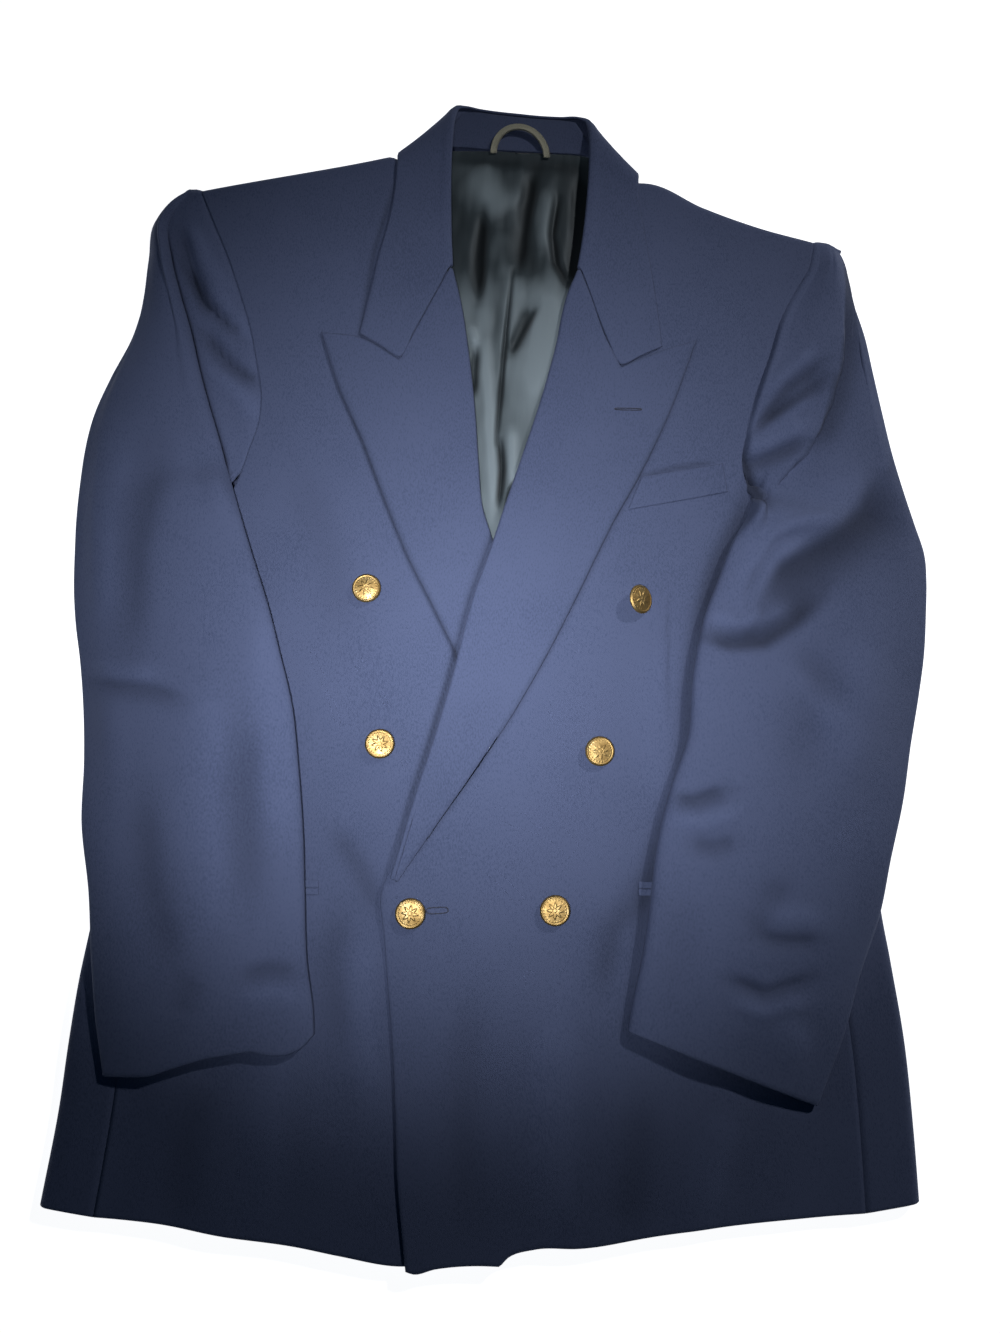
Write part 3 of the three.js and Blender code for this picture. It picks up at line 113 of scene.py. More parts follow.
EDGE_LEFT = [(-62.7, -407.5, 0), (-65, -389), (-69, -353), (-71, -309), (-74, -261), (-78, -219),
             (-81.5, -182), (-83.5, -168, 0.3), (-82, -158)]
EDGE_RIGHT = [(50, -391, 0), (52, -300), (52, -200), (55, -168, 0.3), (38, -140), (33, -122)]
NECK_LEFT = [(68, 325), (77, 350), (84, 372)]
NECK_RIGHT = [(-45, 330), (-52, 362), (-59, 391)]
ARM_LEFT = [(205, 106), (192, 119.5), (184, 136, 0.68), (181, 152), (184.5, 173), (193.5, 207),
            (204, 236), (212, 261), (225, 286), (235, 303), (239, 321)]
ARM_RIGHT = [(-210, 118), (-198, 133, 0.67), (-188, 163), (-182, 182), (-180, 203), (-184, 230),
             (-190, 259), (-198, 285), (-208, 314), (-219, 340), (-229, 364)]
SHOULDER_LEFT = [(84, 372), (99, 374), (113, 374), (154.5, 352.5), (166.5, 346.8), (198.7, 333.5),
                 (239, 321)]
SHOULDER_RIGHT = [(-59, 391), (-72, 391), (-86, 397), (-100, 393.4), (-157, 379.8), (-229, 364)]
BACK_RIGHT = dict(
    side=SIDE_RIGHT, hem=[(-183, -385), (-107, -396), (-13, -400)],
    arm=[(-213, 150), (-207, 200), (-209, 260), (-216, 310), (-225, 353)],
    top=[(-225, 353, 0), (-157, 369.5), (-100, 383), (-86, 386), (-74, 379), (-58, 378, 0.67),
         (-53, 402, 0.78), (-40, 412), (16, 409, 1)])
BACK_LEFT = dict(
    side=SIDE_LEFT, hem=[(169, -376), (107, -384), (-13, -400)],
    arm=[(212, 140), (207, 190), (212, 240), (222, 280), (235, 310)],
    top=[(235, 310, 0), (199, 322.5), (155, 341.5), (113, 363), (99, 362.5), (83, 360.5, 0.67),
         (79, 392, 0.78), (69, 405), (16, 409, 1)])
LAPEL_LEFT = dict(
    roll=[(59.6, 306.6), (51.7, 287), (41.5, 241), (29, 196), (19, 165), (3, 116), (-5, 91),
          (-19.6, 49), (-35, -12), (-47.6, -55.5), (-60, -94), (-70, -130), (-76.6, -152)],
    edge=[(148.6, 247), (127, 190), (102, 138), (84, 106), (56, 49), (35, 8), (11, -34),
          (-19, -79.5), (-45, -116), (-71.5, -154)],
    gorge=[(59.6, 306.6, 0), (68, 284.5), (78, 254), (90.7, 228, 0.5), (123.7, 241.7, 0.8),
           (148.6, 249, 1)])
LAPEL_RIGHT = dict(
    roll=[(-36.4, 308), (-31, 286), (-23, 234), (-19, 196.5), (-16, 153.5), (-12.5, 116.5),
          (-5, 92), (9.5, 30), (27.5, -50), (40, -112)],
    edge=[(-135.7, 254), (-122, 211.5), (-104, 171), (-86, 124), (-67, 78), (-51, 46.5),
          (-31, 6), (-8, -45), (14, -98), (34, -117)],
    gorge=[(-36.4, 308, 0), (-56, 271), (-75, 234, 0.5), (-108, 253, 0.8), (-135.7, 256, 1)])
# roll x, y, z, edge x, y, z, turn of the hidden side in degrees, share of the notch; z 0: on front
COLLAR = [
    (60.2, 308, 0, 122.6, 242.5, 0, -90, 1), (62.5, 320, 0, 121, 262, 0, -90, 0.72),
    (65, 336, 0, 117.5, 292, 0, -90, 0.3), (68.5, 368, 0, 111.5, 334, 0, -90, 0),
    (70.4, 396, 0, 107.5, 364, 0, -90, 0), (70.6, 412, 13.6, 107.5, 378, 16, -78, 0),
    (70.3, 426, 12, 107.5, 387.5, 11.5, -40, 0), (68.5, 436, 8.5, 102, 393, 5.5, 5, 0),
    (62, 440.5, 5.5, 92, 397, 1.6, 50, 0), (48, 441.5, 3.6, 70, 399, 1, 90, 0),
    (32, 442.5, 3.5, 42, 402, 1, 90, 0), (14, 444.5, 3.5, 14, 405, 1, 90, 0),
    (-3, 446.5, 3.5, -18, 408, 1, 90, 0), (-16, 448.5, 3.6, -44, 411, 1, 90, 0),
    (-27, 450, 5.5, -64, 412, 1.6, 50, 0), (-33, 448, 8.5, -73, 410, 5.5, 5, 0),
    (-36, 438, 12, -79, 405.5, 11.5, -40, 0), (-37.4, 420, 13.6, -80, 394, 16, -78, 0),
    (-38.6, 398, 0, -81.5, 374, 0, -90, 0), (-38.8, 368, 0, -86, 346, 0, -90, 0),
    (-38.2, 336, 0, -93.5, 316, 0, -90, 0.3), (-37.6, 321, 0, -100, 284, 0, -90, 0.72),
    (-37, 309.5, 0, -107, 254, 0, -90, 1)]
NOTCH_LEFT = [(60.2, 308, 0), (68.8, 286), (79, 255), (91, 229.4, 0.68), (122.6, 242.5, 1)]
NOTCH_RIGHT = [(-37, 309.5, 0), (-56.6, 272.5), (-75.2, 235.6, 0.68), (-107, 254, 1)]
# neck seam x, y, fold x, y, height
STAND = [(-52, 413, -30, 444, 6.2), (-34, 415, -20, 445.5, 5.4), (-10, 413, -3, 443.5, 5.3),
         (14, 411.5, 14, 441.5, 5.3), (40, 410, 33, 439.5, 5.3), (62, 408.5, 48, 438.5, 5.4),
         (78, 405, 60, 436, 6.2)]
# y, left x, right x, depth of its folds
LINING = [(411, -50, 74, 0.25), (396, -52, 80, 0.6), (372, -54, 82, 1), (344, -54, 80, 1),
          (316, -54, 78, 1), (288, -50, 72, 1), (260, -46, 64, 1), (232, -42, 56, 1),
          (204, -38, 48, 1), (176, -36, 40, 1), (148, -34, 32, 1), (120, -32, 26, 1),
          (92, -30, 22, 0.8), (70, -30, 20, 0.3)]
def below_cap(rows):
    """Sleeve rows with only an inner and an outer fold."""
    return [(0, 0, *folds, 0, 0, 0, 0, 0, 0) for folds in rows]


# armhole x, y, front fold x, y, outer edge x, y, end seam x, y, cap share, step, rise, crown
SLEEVE_RIGHT = [
    (-231, 367.5, -238, 369, -246, 369.5, -226, 355, 1, 0.3, -3.5, 1),
    (-227, 355, -246, 357, -257.5, 358, -224, 347, 1, 1.5, 0, 3.5),
    (-220, 338, -254, 339, -268, 342, -220, 334, 1, 3, 0, 5),
    (-209, 313, -251, 312, -271, 313, -217, 310, 1, 4.5, 0, 0),
    (-199, 284, -243, 282, -275, 284, -213, 284, 1, 5.5, 0, 0),
    (-191, 258, -235, 256, -282, 254, -210, 256, 1, 6, 0, 0),
    (-184, 227, -227, 224, -297, 220, -208.5, 226, 1, 6, 0, 0),
    (-182, 201, -219, 196, -308, 190, -208, 198, 1, 5.5, 0, 0),
    (-185.6, 178, -211, 171, -313, 163, -211, 174, 1, 5, 0, 0),
    (-190, 159, -205.5, 152, -315, 138, -217, 150, 1, 4.5, 0, 0),
    (-198, 136, -198, 130, -316.5, 113, -262, 126, 0.5, 0, 0, 0)]
SLEEVE_RIGHT += below_cap([
    (-190, 105, -316.5, 88), (-180.5, 76, -315.5, 60), (-169, 42, -312.5, 32),
    (-159.5, 8, -307.5, 4), (-149.5, -30, -303, -30), (-143.5, -74, -298, -70),
    (-139, -118, -294, -114), (-136.5, -162, -286, -160), (-134, -206, -281.5, -206),
    (-129, -240, -276, -250), (-128, -261, -269.5, -283)])
SLEEVE_LEFT = [
    (240.8, 325, 245, 325, 262, 321.5, 236.5, 312, 1, 0.3, -3.5, 1.5),
    (237, 307, 244, 308, 267, 308, 231, 300, 1, 0.6, 0, 4.5),
    (231, 295, 239, 296, 270, 291, 227, 288, 1, 1, 0, 0),
    (222, 279, 230, 280, 275, 273, 221, 274, 1, 1.5, 0, 0),
    (213, 261, 221, 261, 280, 254, 216.5, 256, 1, 2, 0, 0),
    (205, 236, 213, 236, 284.5, 226, 212, 232, 1, 2, 0, 0),
    (195, 208, 203, 207, 290, 192, 209, 204, 1, 2, 0, 0),
    (186.5, 180, 195, 178, 296, 158, 208.5, 176, 1, 2, 0, 0),
    (184.5, 158, 190, 154, 303, 128, 211, 152, 1, 2, 0, 0),
    (191, 141, 188, 134, 309, 105, 218, 134, 1, 2, 2, 0),
    (195, 127.5, 185.5, 114, 315, 84, 262, 112, 0.5, 0, 0, 0)]
SLEEVE_LEFT += below_cap([
    (171.5, 90, 316, 64), (160, 62, 314, 38), (148, 31, 311, 10), (139, -10, 305, -22),
    (134.5, -52, 297, -58), (120.5, -90, 287, -98), (110.5, -128, 273, -138),
    (104, -172, 262.5, -178), (98, -206, 248, -216), (91, -236, 234, -258),
    (87.5, -254, 215, -303)])
CAP_FOLD = [(205, 134), (213, 144), (227, 158), (237, 174), (247, 201), (255, 229), (259, 263),
            (262, 291), (262, 320)]

# Folds: from x, y to x, y, width, height
FRONT_FOLDS = [
    (104, -150, 72, -228, 13, -0.8), (154, -300, 132, -372, 16, 1.1),
    (60, -270, 30, -392, 22, -0.9), (-117, -118, -88, -176, 14, 0.8),
    (-112, -180, -116, -300, 16, -0.8), (-200, -300, -190, -386, 24, 0.9),
    (-250, -300, -262, -376, 18, -0.9), (210, -300, 222, -372, 20, -0.9),
    (150, 250, 120, 150, 26, 0.9), (-150, 300, -160, 160, 26, 0.9)]
SLEEVE_FOLDS = [
    (147, -2, 188, 19, 9, -2.6), (188, 19, 240, 74, 10, -2.4), (175, 26, 205, 70, 8, 1.8),
    (190, 60, 226, 76, 8, -1.6), (118, -119, 148, -111, 9, -2.0), (166, -252, 197, -234, 8, 1.5),
    (197, -234, 226, -238, 8, 1.3), (186, -213, 225, -215, 9, -1.5), (264, -4, 238, -96, 16, 1.4),
    (186, 182, 236, 206, 7, -2.0), (192, 167, 230, 196, 6, 1.6), (200, 212, 250, 246, 8, 1.5),
    (-243, 300, -208, 252, 7, 1.8), (-231, 242, -184, 198, 7, 1.8), (-240, 274, -204, 226, 6, -1.6),
    (-288, -30, -240, -40, 8, -1.4), (-183, -90, -190, -190, 16, 1.2),
    (-258, -130, -240, -240, 14, -1.2), (-250, 150, -262, 40, 18, 1.3)]
LINING_FOLDS = [
    (-10, 395, -16, 225, 6, 2.1), (4, 400, -4, 230, 5, -1.7), (19, 400, 3, 225, 5, 2.2),
    (32, 390, 20, 250, 5, -1.8), (41, 380, 38, 300, 6, 2.0), (34, 262, 9, 150, 5, 1.8),
    (2, 222, -1, 100, 5, -1.9), (20, 215, 4, 120, 4.5, -1.5)]

# Creases: height, width on the left of the line, width on its right, points
# The creases and grooves of the fronts, lapels and sleeves also darken their colour as painted
# shade
LEFT_CREASES = [
    (-9, 4.5, 4.5, [(180, 166), (183, 146), (188, 129), (195, 116)]),
    (-8, 26, 7, [(283, 138), (270, 112), (241, 88), (207, 68), (190, 42)]),
    (4.5, 7, 14, [(262, 133), (246, 110), (222, 94), (195, 74), (180, 48)]),
    (-4.6, 7, 3.5, [(231, 96), (201, 88), (185, 65), (176, 48)]),
    (2.8, 3.5, 6, [(233, 106), (206, 98), (190, 85)]),
    (-8, 14, 5, [(142, 18), (164, 13), (189, 15), (212, 29), (233, 48)]),
    (4, 6, 10, [(146, 33), (169, 26), (192, 30), (213, 43)]),
    (-5.6, 7, 2.8, [(240, 227), (228, 217), (216, 209), (205, 196), (195, 184)]),
    (3.2, 3, 6, [(233, 234), (216, 220), (202, 206)]),
    (-5, 7, 2.8, [(245, 217), (226, 204), (205, 190), (191, 178)]),
    (2.8, 3, 4, [(231, 198), (213, 187), (195, 174)]),
    (-5.6, 8, 3, [(226, 167), (203, 157), (182, 149)]),
    (3.2, 4, 8, [(226, 178), (203, 167), (185, 158)]),
    (-5, 6, 5, [(185, 139), (192, 128), (199, 122)]),
    (1.8, 10, 10, [(206, -5), (225, -28), (244, -56)]),
    (-1.4, 11.7, 11.7, [(210, 10), (230, -13), (248, -32)]),
    (-5.5, 4, 10, [(121, -96), (135, -98), (157, -91)]),
    (3.4, 9, 5, [(122, -113), (140, -114), (163, -107)]),
    (-3.6, 6, 7, [(132, -129), (147, -131), (162, -127)]),
    (-3.6, 4, 8, [(156, -218), (179, -228), (191, -224), (212, -218)]),
    (2.4, 7, 5, [(159, -234), (176, -241), (207, -234)]),
    (-3.4, 4, 9, [(175, -190), (194, -193), (216, -193)]),
    (2.2, 9, 7, [(178, -175), (198, -178), (218, -179)]),
    (-2.6, 7, 11, [(196, -153), (184, -173), (170, -191)]),
    (1.5, 20.8, 18.2, [(263, 16), (246, -39), (232, -81)]),
    (-1.7, 18.2, 18.2, [(233, 8), (219, -38), (207, -81)]),
    (-1.2, 15.6, 15.6, [(116, -163), (120, -199), (113, -226)]),
    (2, 10, 14, [(188, -245), (199, -258), (204, -271)])]
RIGHT_CREASES = [
    (-4.6, 3, 8, [(-246, 337), (-237, 308), (-222, 273)]),
    (3.4, 6, 4, [(-237, 337), (-225, 308), (-206, 283)]),
    (-5, 2.6, 6, [(-240, 308), (-222, 277), (-197, 253)]),
    (3, 6, 3, [(-223, 291), (-207, 269), (-186, 248)]),
    (-5.4, 2.6, 8, [(-226, 257), (-205, 232), (-181, 214)]),
    (2.6, 8, 5, [(-220, 227), (-201, 208), (-183, 188)]),
    (-3.6, 4, 9, [(-296, -12), (-272, -17), (-248, -20), (-227, -26)]),
    (2.2, 7, 7, [(-296, -2), (-271, -7), (-245, -9)]),
    (-3, 12, 16, [(-176, -43), (-178, -102), (-172, -168)]),
    (3, 16, 14, [(-208, -25), (-209, -91), (-197, -177)]),
    (-3, 12, 14, [(-251, -91), (-241, -155), (-221, -214)]),
    (2.6, 14, 14, [(-163, 33), (-163, -43), (-153, -120)]),
    (-3, 12, 16, [(-251, 157), (-266, 81), (-265, 7)]),
    (3, 16, 16, [(-284, 175), (-295, 103), (-286, 22)]),
    (-3, 6, 10, [(-177, -218), (-158, -213), (-139, -214)]),
    (2.2, 8, 8, [(-175, -233), (-156, -229), (-137, -229)]),
    (-2.2, 10, 12, [(-207, -219), (-215, -231), (-218, -244)])]
# The right cuff's hem: its straight line, and how far it waves from it at each x
CUFF_LINE = [(-272, -288), (-128, -262)]
CUFF_WAVE = [
    (-272, 0), (-252, -3.2), (-237, -5.2), (-218, -1.8), (-199, 0.9), (-169, 0.7), (-157, -4),
    (-146, -6), (-135, -3.2), (-128, 3.6)]
FRONT_CREASES = [
    (-1.5, 8, 12, [(108, -146), (97, -168), (79, -187), (70, -230)]),
    (0.9, 8, 12, [(122, -160), (112, -190), (96, -226)]),
    (-1.4, 9, 9, [(-117, -118), (-99, -146), (-84, -176)]),
    (-1.0, 10, 12, [(-112, -173), (-118, -214), (-110, -262)]),
    (0.9, 10, 10, [(-96, -190), (-96, -240), (-90, -300)]),
    (1.1, 12, 14, [(154, -310), (142, -338), (134, -372)]),
    (-1.0, 14, 14, [(96, -300), (88, -350), (84, -386)]),
    (1.0, 16, 16, [(40, -240), (34, -310), (36, -380)]),
    (-0.8, 14, 14, [(-20, -230), (-26, -300), (-24, -380)]),
    (0.9, 14, 14, [(-150, -250), (-160, -310), (-158, -370)]),
    (-0.9, 16, 16, [(-200, -290), (-214, -330), (-216, -380)]),
    (-0.7, 16, 20, [(-150, 150), (-128, 90), (-110, 20)]),
    (0.6, 14, 18, [(120, 20), (112, -40), (118, -110)]),
    (-0.5, 0.9, 0.9, [(121, 46), (121.5, 10), (120, -26)])]
LINING_CREASES = [
    (4.4, 18, 16, [(-25, 393), (-8, 376), (6, 357)]),
    (-4.8, 5, 6, [(26, 394), (20, 357), (14, 309)]),
    (-4.8, 5, 5, [(-13, 361), (-16, 323), (-16, 282)]),
    (1.6, 8, 8, [(0, 344), (2, 302)]),
    (-5, 7, 6, [(63, 394), (62, 344), (56, 299)]),
    (-3.6, 2.6, 3.4, [(46, 372), (41, 340), (44, 317), (52, 299)]),
    (2.6, 6, 8, [(35, 382), (32, 327)]),
    (3.6, 14, 14, [(22, 290), (37, 277), (31, 249), (23, 204)]),
    (-4.6, 4, 7, [(29, 280), (18, 261), (8, 240)]),
    (-3.4, 1.9, 2, [(10, 310), (5, 261), (1, 213), (-3, 167)]),
    (3.2, 5, 4, [(-11, 248), (-9, 188), (-5, 125), (-4, 99)]),
    (-4.4, 2.4, 2.4, [(0, 172), (2, 149), (-1, 121)]),
    (2.8, 4, 4, [(8, 180), (10, 138)]),
    (-3.6, 3, 3, [(12, 139), (6, 121)]),
    (4.2, 3, 3, [(-22, 262), (-19, 249)]),
    (-3.6, 3, 4, [(-18, 244), (-20, 208)]),
    (-3.2, 6, 6, [(-38, 405), (16, 402), (69, 397)])]
# Narrow grooves beside the free edges, and on the left front two wider bands beside the left
# sleeve's inner edge; the colour is darkened along them as painted shade, and along the bands as
# the sleeve's painted shadow
UNDER_GROOVES = [
    (-1.6, 2.2, 2.2, [point[:2] for point in LAPEL_RIGHT["edge"]]),
    (-1.9, 2.6, 2.6, [(point[0] - 2.6, point[1]) for point in LAPEL_LEFT["roll"]]),
    (-1.2, 2.2, 2.2, [(-79, 389), (-97, 322), (-107, 253), (-74, 235)])]
TOP_GROOVES = [
    (-1.1, 15, 6, [(191, 135), (181, 113), (168, 84), (155, 50), (148, 17)]),
    (-1.5, 11, 7, [(187, 140), (176, 111), (158, 77), (146, 38), (138, -12),
                  (134, -52), (125, -91), (110, -132), (98, -194), (88, -251)]),
    (-0.6, 1.5, 1.5, [(123, 48), (122, 8), (121, -40)]),
    (-1.2, 2.0, 2.0, [point[:2] for point in LAPEL_LEFT["edge"]]),
    (-1.4, 2.4, 2.4, [(104, 141), (130, 148), (160, 153)]),
    (-1.2, 2.2, 2.2, [(63, 311), (91, 230), (122, 241)])]

# ---- shape helpers
def ease(a, b, x):
    t = np.clip((np.asarray(x, float) - a) / (b - a), 0, 1)
    return t * t * (3 - 2 * t)


def lerp(a, b, t):
    return a + (b - a) * t


def unit(v):
    v = np.asarray(v, float)
    length = np.linalg.norm(v, axis=-1, keepdims=True)
    return v / np.where(length == 0, 1, length)


def fold_height(folds, x, y):
    """Height of a table of folds, fading past both ends."""
    total = np.zeros(np.broadcast(x, y).shape)
    for x1, y1, x2, y2, width, height in folds:
        dx, dy = x2 - x1, y2 - y1
        length = math.hypot(dx, dy)
        along = ((x - x1) * dx + (y - y1) * dy) / length
        across = ((x - x1) * dy - (y - y1) * dx) / length
        past = np.maximum(0, np.maximum(-along, along - length))
        reach = np.hypot(across, past * 0.8) / width
        total = total + height * np.exp(-reach * reach)
    return total


def crease_height(creases, x, y):
    """Height of creases along bent lines, each side with its own width, fading at the ends."""
    total = np.zeros(np.broadcast(x, y).shape)
    for height, left, right, points in creases:
        lengths = [math.dist(a, b) for a, b in zip(points, points[1:])]
        whole, start = sum(lengths), 0.0
        best = np.full(total.shape, 1e9)
        reach = np.full(total.shape, 1e9)
        share = np.zeros(total.shape)
        for (x1, y1), (x2, y2), length in zip(points, points[1:], lengths):
            dx, dy = (x2 - x1) / length, (y2 - y1) / length
            along = np.clip((x - x1) * dx + (y - y1) * dy, 0, length)
            ox, oy = x - x1 - dx * along, y - y1 - dy * along
            away = np.hypot(ox, oy)
            side = np.where(dx * oy - dy * ox > 0, left, right)
            nearer = away < best
            best = np.where(nearer, away, best)
            reach = np.where(nearer, away / side, reach)
            share = np.where(nearer, (start + along) / whole, share)
            start += length
        fade = ease(-0.15, 0.25, share) * (1 - ease(0.75, 1.15, share))
        total = total + height * fade * np.exp(-reach ** 2)
    return total


def ripple(x, y, size, seed):
    """Smooth uneven waves between -1 and 1, about size across."""
    rng = np.random.default_rng(seed)
    total = np.zeros(np.broadcast(x, y).shape)
    for _ in range(7):
        angle = rng.uniform(0, 2 * math.pi)
        wave = 2 * math.pi / (size * rng.uniform(0.7, 1.7))
        phase = rng.uniform(0, 2 * math.pi)
        total = total + np.sin(wave * (x * math.cos(angle) + y * math.sin(angle)) + phase)
    return total / 4


def marks_of(points):
    """The share of the line at each point; a third number pins it."""
    marks = [p[2] if len(p) > 2 else None for p in points]
    marks[0], marks[-1] = 0.0, 1.0
    start = 0
    for i in range(1, len(points)):
        if marks[i] is None:
            continue
        lengths = [0.0]
        for k in range(start + 1, i + 1):
            lengths.append(lengths[-1] + math.dist(points[k][:2], points[k - 1][:2]))
        for k in range(start + 1, i):
            marks[k] = lerp(marks[start], marks[i], lengths[k - start] / lengths[-1])
        start = i
    return np.array(marks)


def hermite(f):
    """Weights of two ends and their slopes at a share f of the way."""
    return (2 * f**3 - 3 * f**2 + 1, f**3 - 2 * f**2 + f, -2 * f**3 + 3 * f**2, f**3 - f**2)


def track(points):
    """A smooth line through points, with a corner kept where it turns sharply."""
    marks = marks_of(points)
    xy = np.array([p[:2] for p in points], float)
    gaps = np.diff(marks)[:, None]
    slopes = np.diff(xy, axis=0) / gaps
    leave, arrive = slopes.copy(), slopes.copy()
    for i in range(1, len(xy) - 1):
        a, b = unit(slopes[i - 1]), unit(slopes[i])
        if float(a @ b) > math.cos(math.radians(32)):
            ratio = gaps[i - 1] / (gaps[i - 1] + gaps[i])
            blend = slopes[i - 1] * (1 - ratio) + slopes[i] * ratio
            leave[i], arrive[i - 1] = blend, blend

    def at(t):
        t = np.atleast_1d(np.asarray(t, float))
        k = np.clip(np.searchsorted(marks, t, side="right") - 1, 0, len(marks) - 2)
        gap = gaps[k]
        a, b, c, d = hermite(np.clip((t - marks[k])[:, None] / gap, 0, 1))
        return a * xy[k] + b * gap * leave[k] + c * xy[k + 1] + d * gap * arrive[k]
    return at


def side_x(table, y):
    """x of a silhouette, or of the cap fold, at a given y."""
    return np.interp(y, [p[1] for p in table], [p[0] for p in table])


def seam_points(side, set_in, t):
    """Points of a side seam, set in from the silhouette; at the hem it runs lower."""
    sign = -1 if side is SIDE_RIGHT else 1
    xy = track(side)(t)
    drop = HEM_DROP * (set_in / SIDE_SEAM_UPPER) * (1 - ease(0, 0.16, t))
    return np.column_stack([xy[:, 0] - sign * set_in, xy[:, 1] - drop])


def seam_line(side, set_in):
    t = np.linspace(0, 1, 13)
    return [(x, y, UNDERARM * s) for (x, y), s in zip(seam_points(side, set_in, t), t)]


def offset_line(points, distance):
    result = []
    for k, p in enumerate(points):
        a, b = points[max(k - 1, 0)], points[min(k + 1, len(points) - 1)]
        run = unit([b[0] - a[0], b[1] - a[1]])
        result.append((p[0] - run[1] * distance, p[1] + run[0] * distance))
    return result


def front_edge(edge, lapel, sign, neck):
    line = offset_line(lapel["roll"][::-1], -sign * ROLL_SETBACK)
    return edge + line[1 if sign > 0 else 0:] + neck


def panel_grid(bottom, top, left, right, height, columns, rows):
    """Plan grid between four lines, then given its height."""
    u, v = np.linspace(0, 1, columns + 1), np.linspace(0, 1, rows + 1)
    b, t, le, ri = track(bottom)(u), track(top)(u), track(left)(v), track(right)(v)
    uu, vv = u[None, :, None], v[:, None, None]
    rails = le[:, None] * (1 - uu) + ri[:, None] * uu
    ends = b[None] * (1 - vv) + t[None] * vv
    corners = (b[0] * (1 - uu) + b[-1] * uu) * (1 - vv) + (t[0] * (1 - uu) + t[-1] * uu) * vv
    xy = rails + ends - corners
    return np.dstack([xy, height(xy[..., 0], xy[..., 1])])


def spline(g, spacing):
    """Smooth rows through a coarse grid, spaced by the distance between its rows."""
    gaps = np.linalg.norm(np.diff(g[..., :3], axis=0), axis=-1)
    gaps = np.maximum(gaps.reshape(len(g) - 1, -1).mean(axis=1), 1e-3)
    shape = (-1,) + (1,) * (g.ndim - 1)
    slopes = np.diff(g, axis=0) / gaps.reshape(shape)
    tangents = np.concatenate([slopes[:1], slopes[1:], slopes[-1:]])
    ratio = (gaps[:-1] / (gaps[:-1] + gaps[1:])).reshape(shape)
    tangents[1:-1] = slopes[:-1] * (1 - ratio) + slopes[1:] * ratio
    rows = []
    for k, gap in enumerate(gaps):
        steps = max(2, math.ceil(gap / spacing))
        for s in range(steps):
            a, b, c, d = hermite(s / steps)
            rows.append(a * g[k] + b * gap * tangents[k] + c * g[k + 1] + d * gap * tangents[k + 1])
    rows.append(g[-1])
    return np.array(rows)


def refine(grid, row_spacing, column_spacing):
    g = spline(np.asarray(grid, float), row_spacing)
    return spline(g.swapaxes(0, 1), column_spacing).swapaxes(0, 1)


def edge_first(grid, side):
    """A view of a grid that starts at its bottom, top, left or right edge."""
    view = grid.swapaxes(0, 1) if side in "lr" else grid
    return view[::-1] if side in "tr" else view


def inset(grid, **edges):
    """Moves the named edges of a grid inwards by these distances."""
    grid = grid.copy()
    for edge, distance in edges.items():
        view = edge_first(grid, edge[0])
        view[0] += unit(view[1] - view[0]) * distance
    return grid


def rim(grid, sides, reach=0.7):
    """Adds a row close to each named edge, so that the shell's edge can be rounded there."""
    for side in "btlr":
        if side in sides:
            view = edge_first(grid, side)
            row = view[:1] + unit(view[1:2] - view[:1]) * reach
            view = np.concatenate([view[:1], row, view[1:]])
            view = view[::-1] if side in "tr" else view
            grid = view.swapaxes(0, 1) if side in "lr" else view
    return grid


def full(x, y):
    """Painted shade of cloth with no creases: none."""
    return np.ones(np.broadcast(x, y).shape)


def creased(*tables):
    """Painted shade that grows darker in the creases of some tables; each table has its strength.
    """
    def shade(x, y):
        total = 1 + sum(strength * crease_height(table, x, y) for table, strength in tables)
        return np.clip(total, 0.3, 1.12)
    return shade


def shell(node_name, grid, wall, material, upright=False, round_sides="btlr", shade=full,
          name=None):
    """A closed sheet of cloth with rounded edges, round a grid, which stands for one node."""
    grid = rim(grid[..., :3], round_sides)
    rows, columns = grid.shape[:2]
    thick = np.full((rows, columns), wall / 2)
    for side in round_sides:
        edge_first(thick, side)[0] = wall * EDGE_SHARE
    if upright:
        normals = np.zeros_like(grid)
        normals[..., 2] = 1
    else:
        normals = unit(np.cross(np.gradient(grid, axis=1), np.gradient(grid, axis=0)))
    offset = normals * thick[..., None]
    points = np.concatenate([(grid + offset).reshape(-1, 3), (grid - offset).reshape(-1, 3)])
    over = np.arange(rows * columns).reshape(rows, columns)
    under = over + rows * columns

    def quads(a, b, c, d):
        return np.stack([a, b, c, d], -1).reshape(-1, 4)
    faces = np.concatenate([
        quads(over[:-1, :-1], over[:-1, 1:], over[1:, 1:], over[1:, :-1]),
        quads(under[:-1, :-1], under[1:, :-1], under[1:, 1:], under[:-1, 1:]),
        quads(under[0, :-1], under[0, 1:], over[0, 1:], over[0, :-1]),
        quads(over[-1, :-1], over[-1, 1:], under[-1, 1:], under[-1, :-1]),
        quads(over[:-1, 0], over[1:, 0], under[1:, 0], under[:-1, 0]),
        quads(under[:-1, -1], under[1:, -1], over[1:, -1], over[:-1, -1])])
    a, b, c = (points[faces[:, k]] for k in range(3))
    if np.einsum("ij,ij->i", a, np.cross(b, c)).sum() < 0:
        faces = faces[:, ::-1]
    # Painted shade at each point, the same on both sides of the shell
    tones = np.tile(shade(grid[..., 0], grid[..., 1]).ravel(), 2)
    mesh_piece(name or node_name + "_cloth", points, faces, material, node_name, tones)


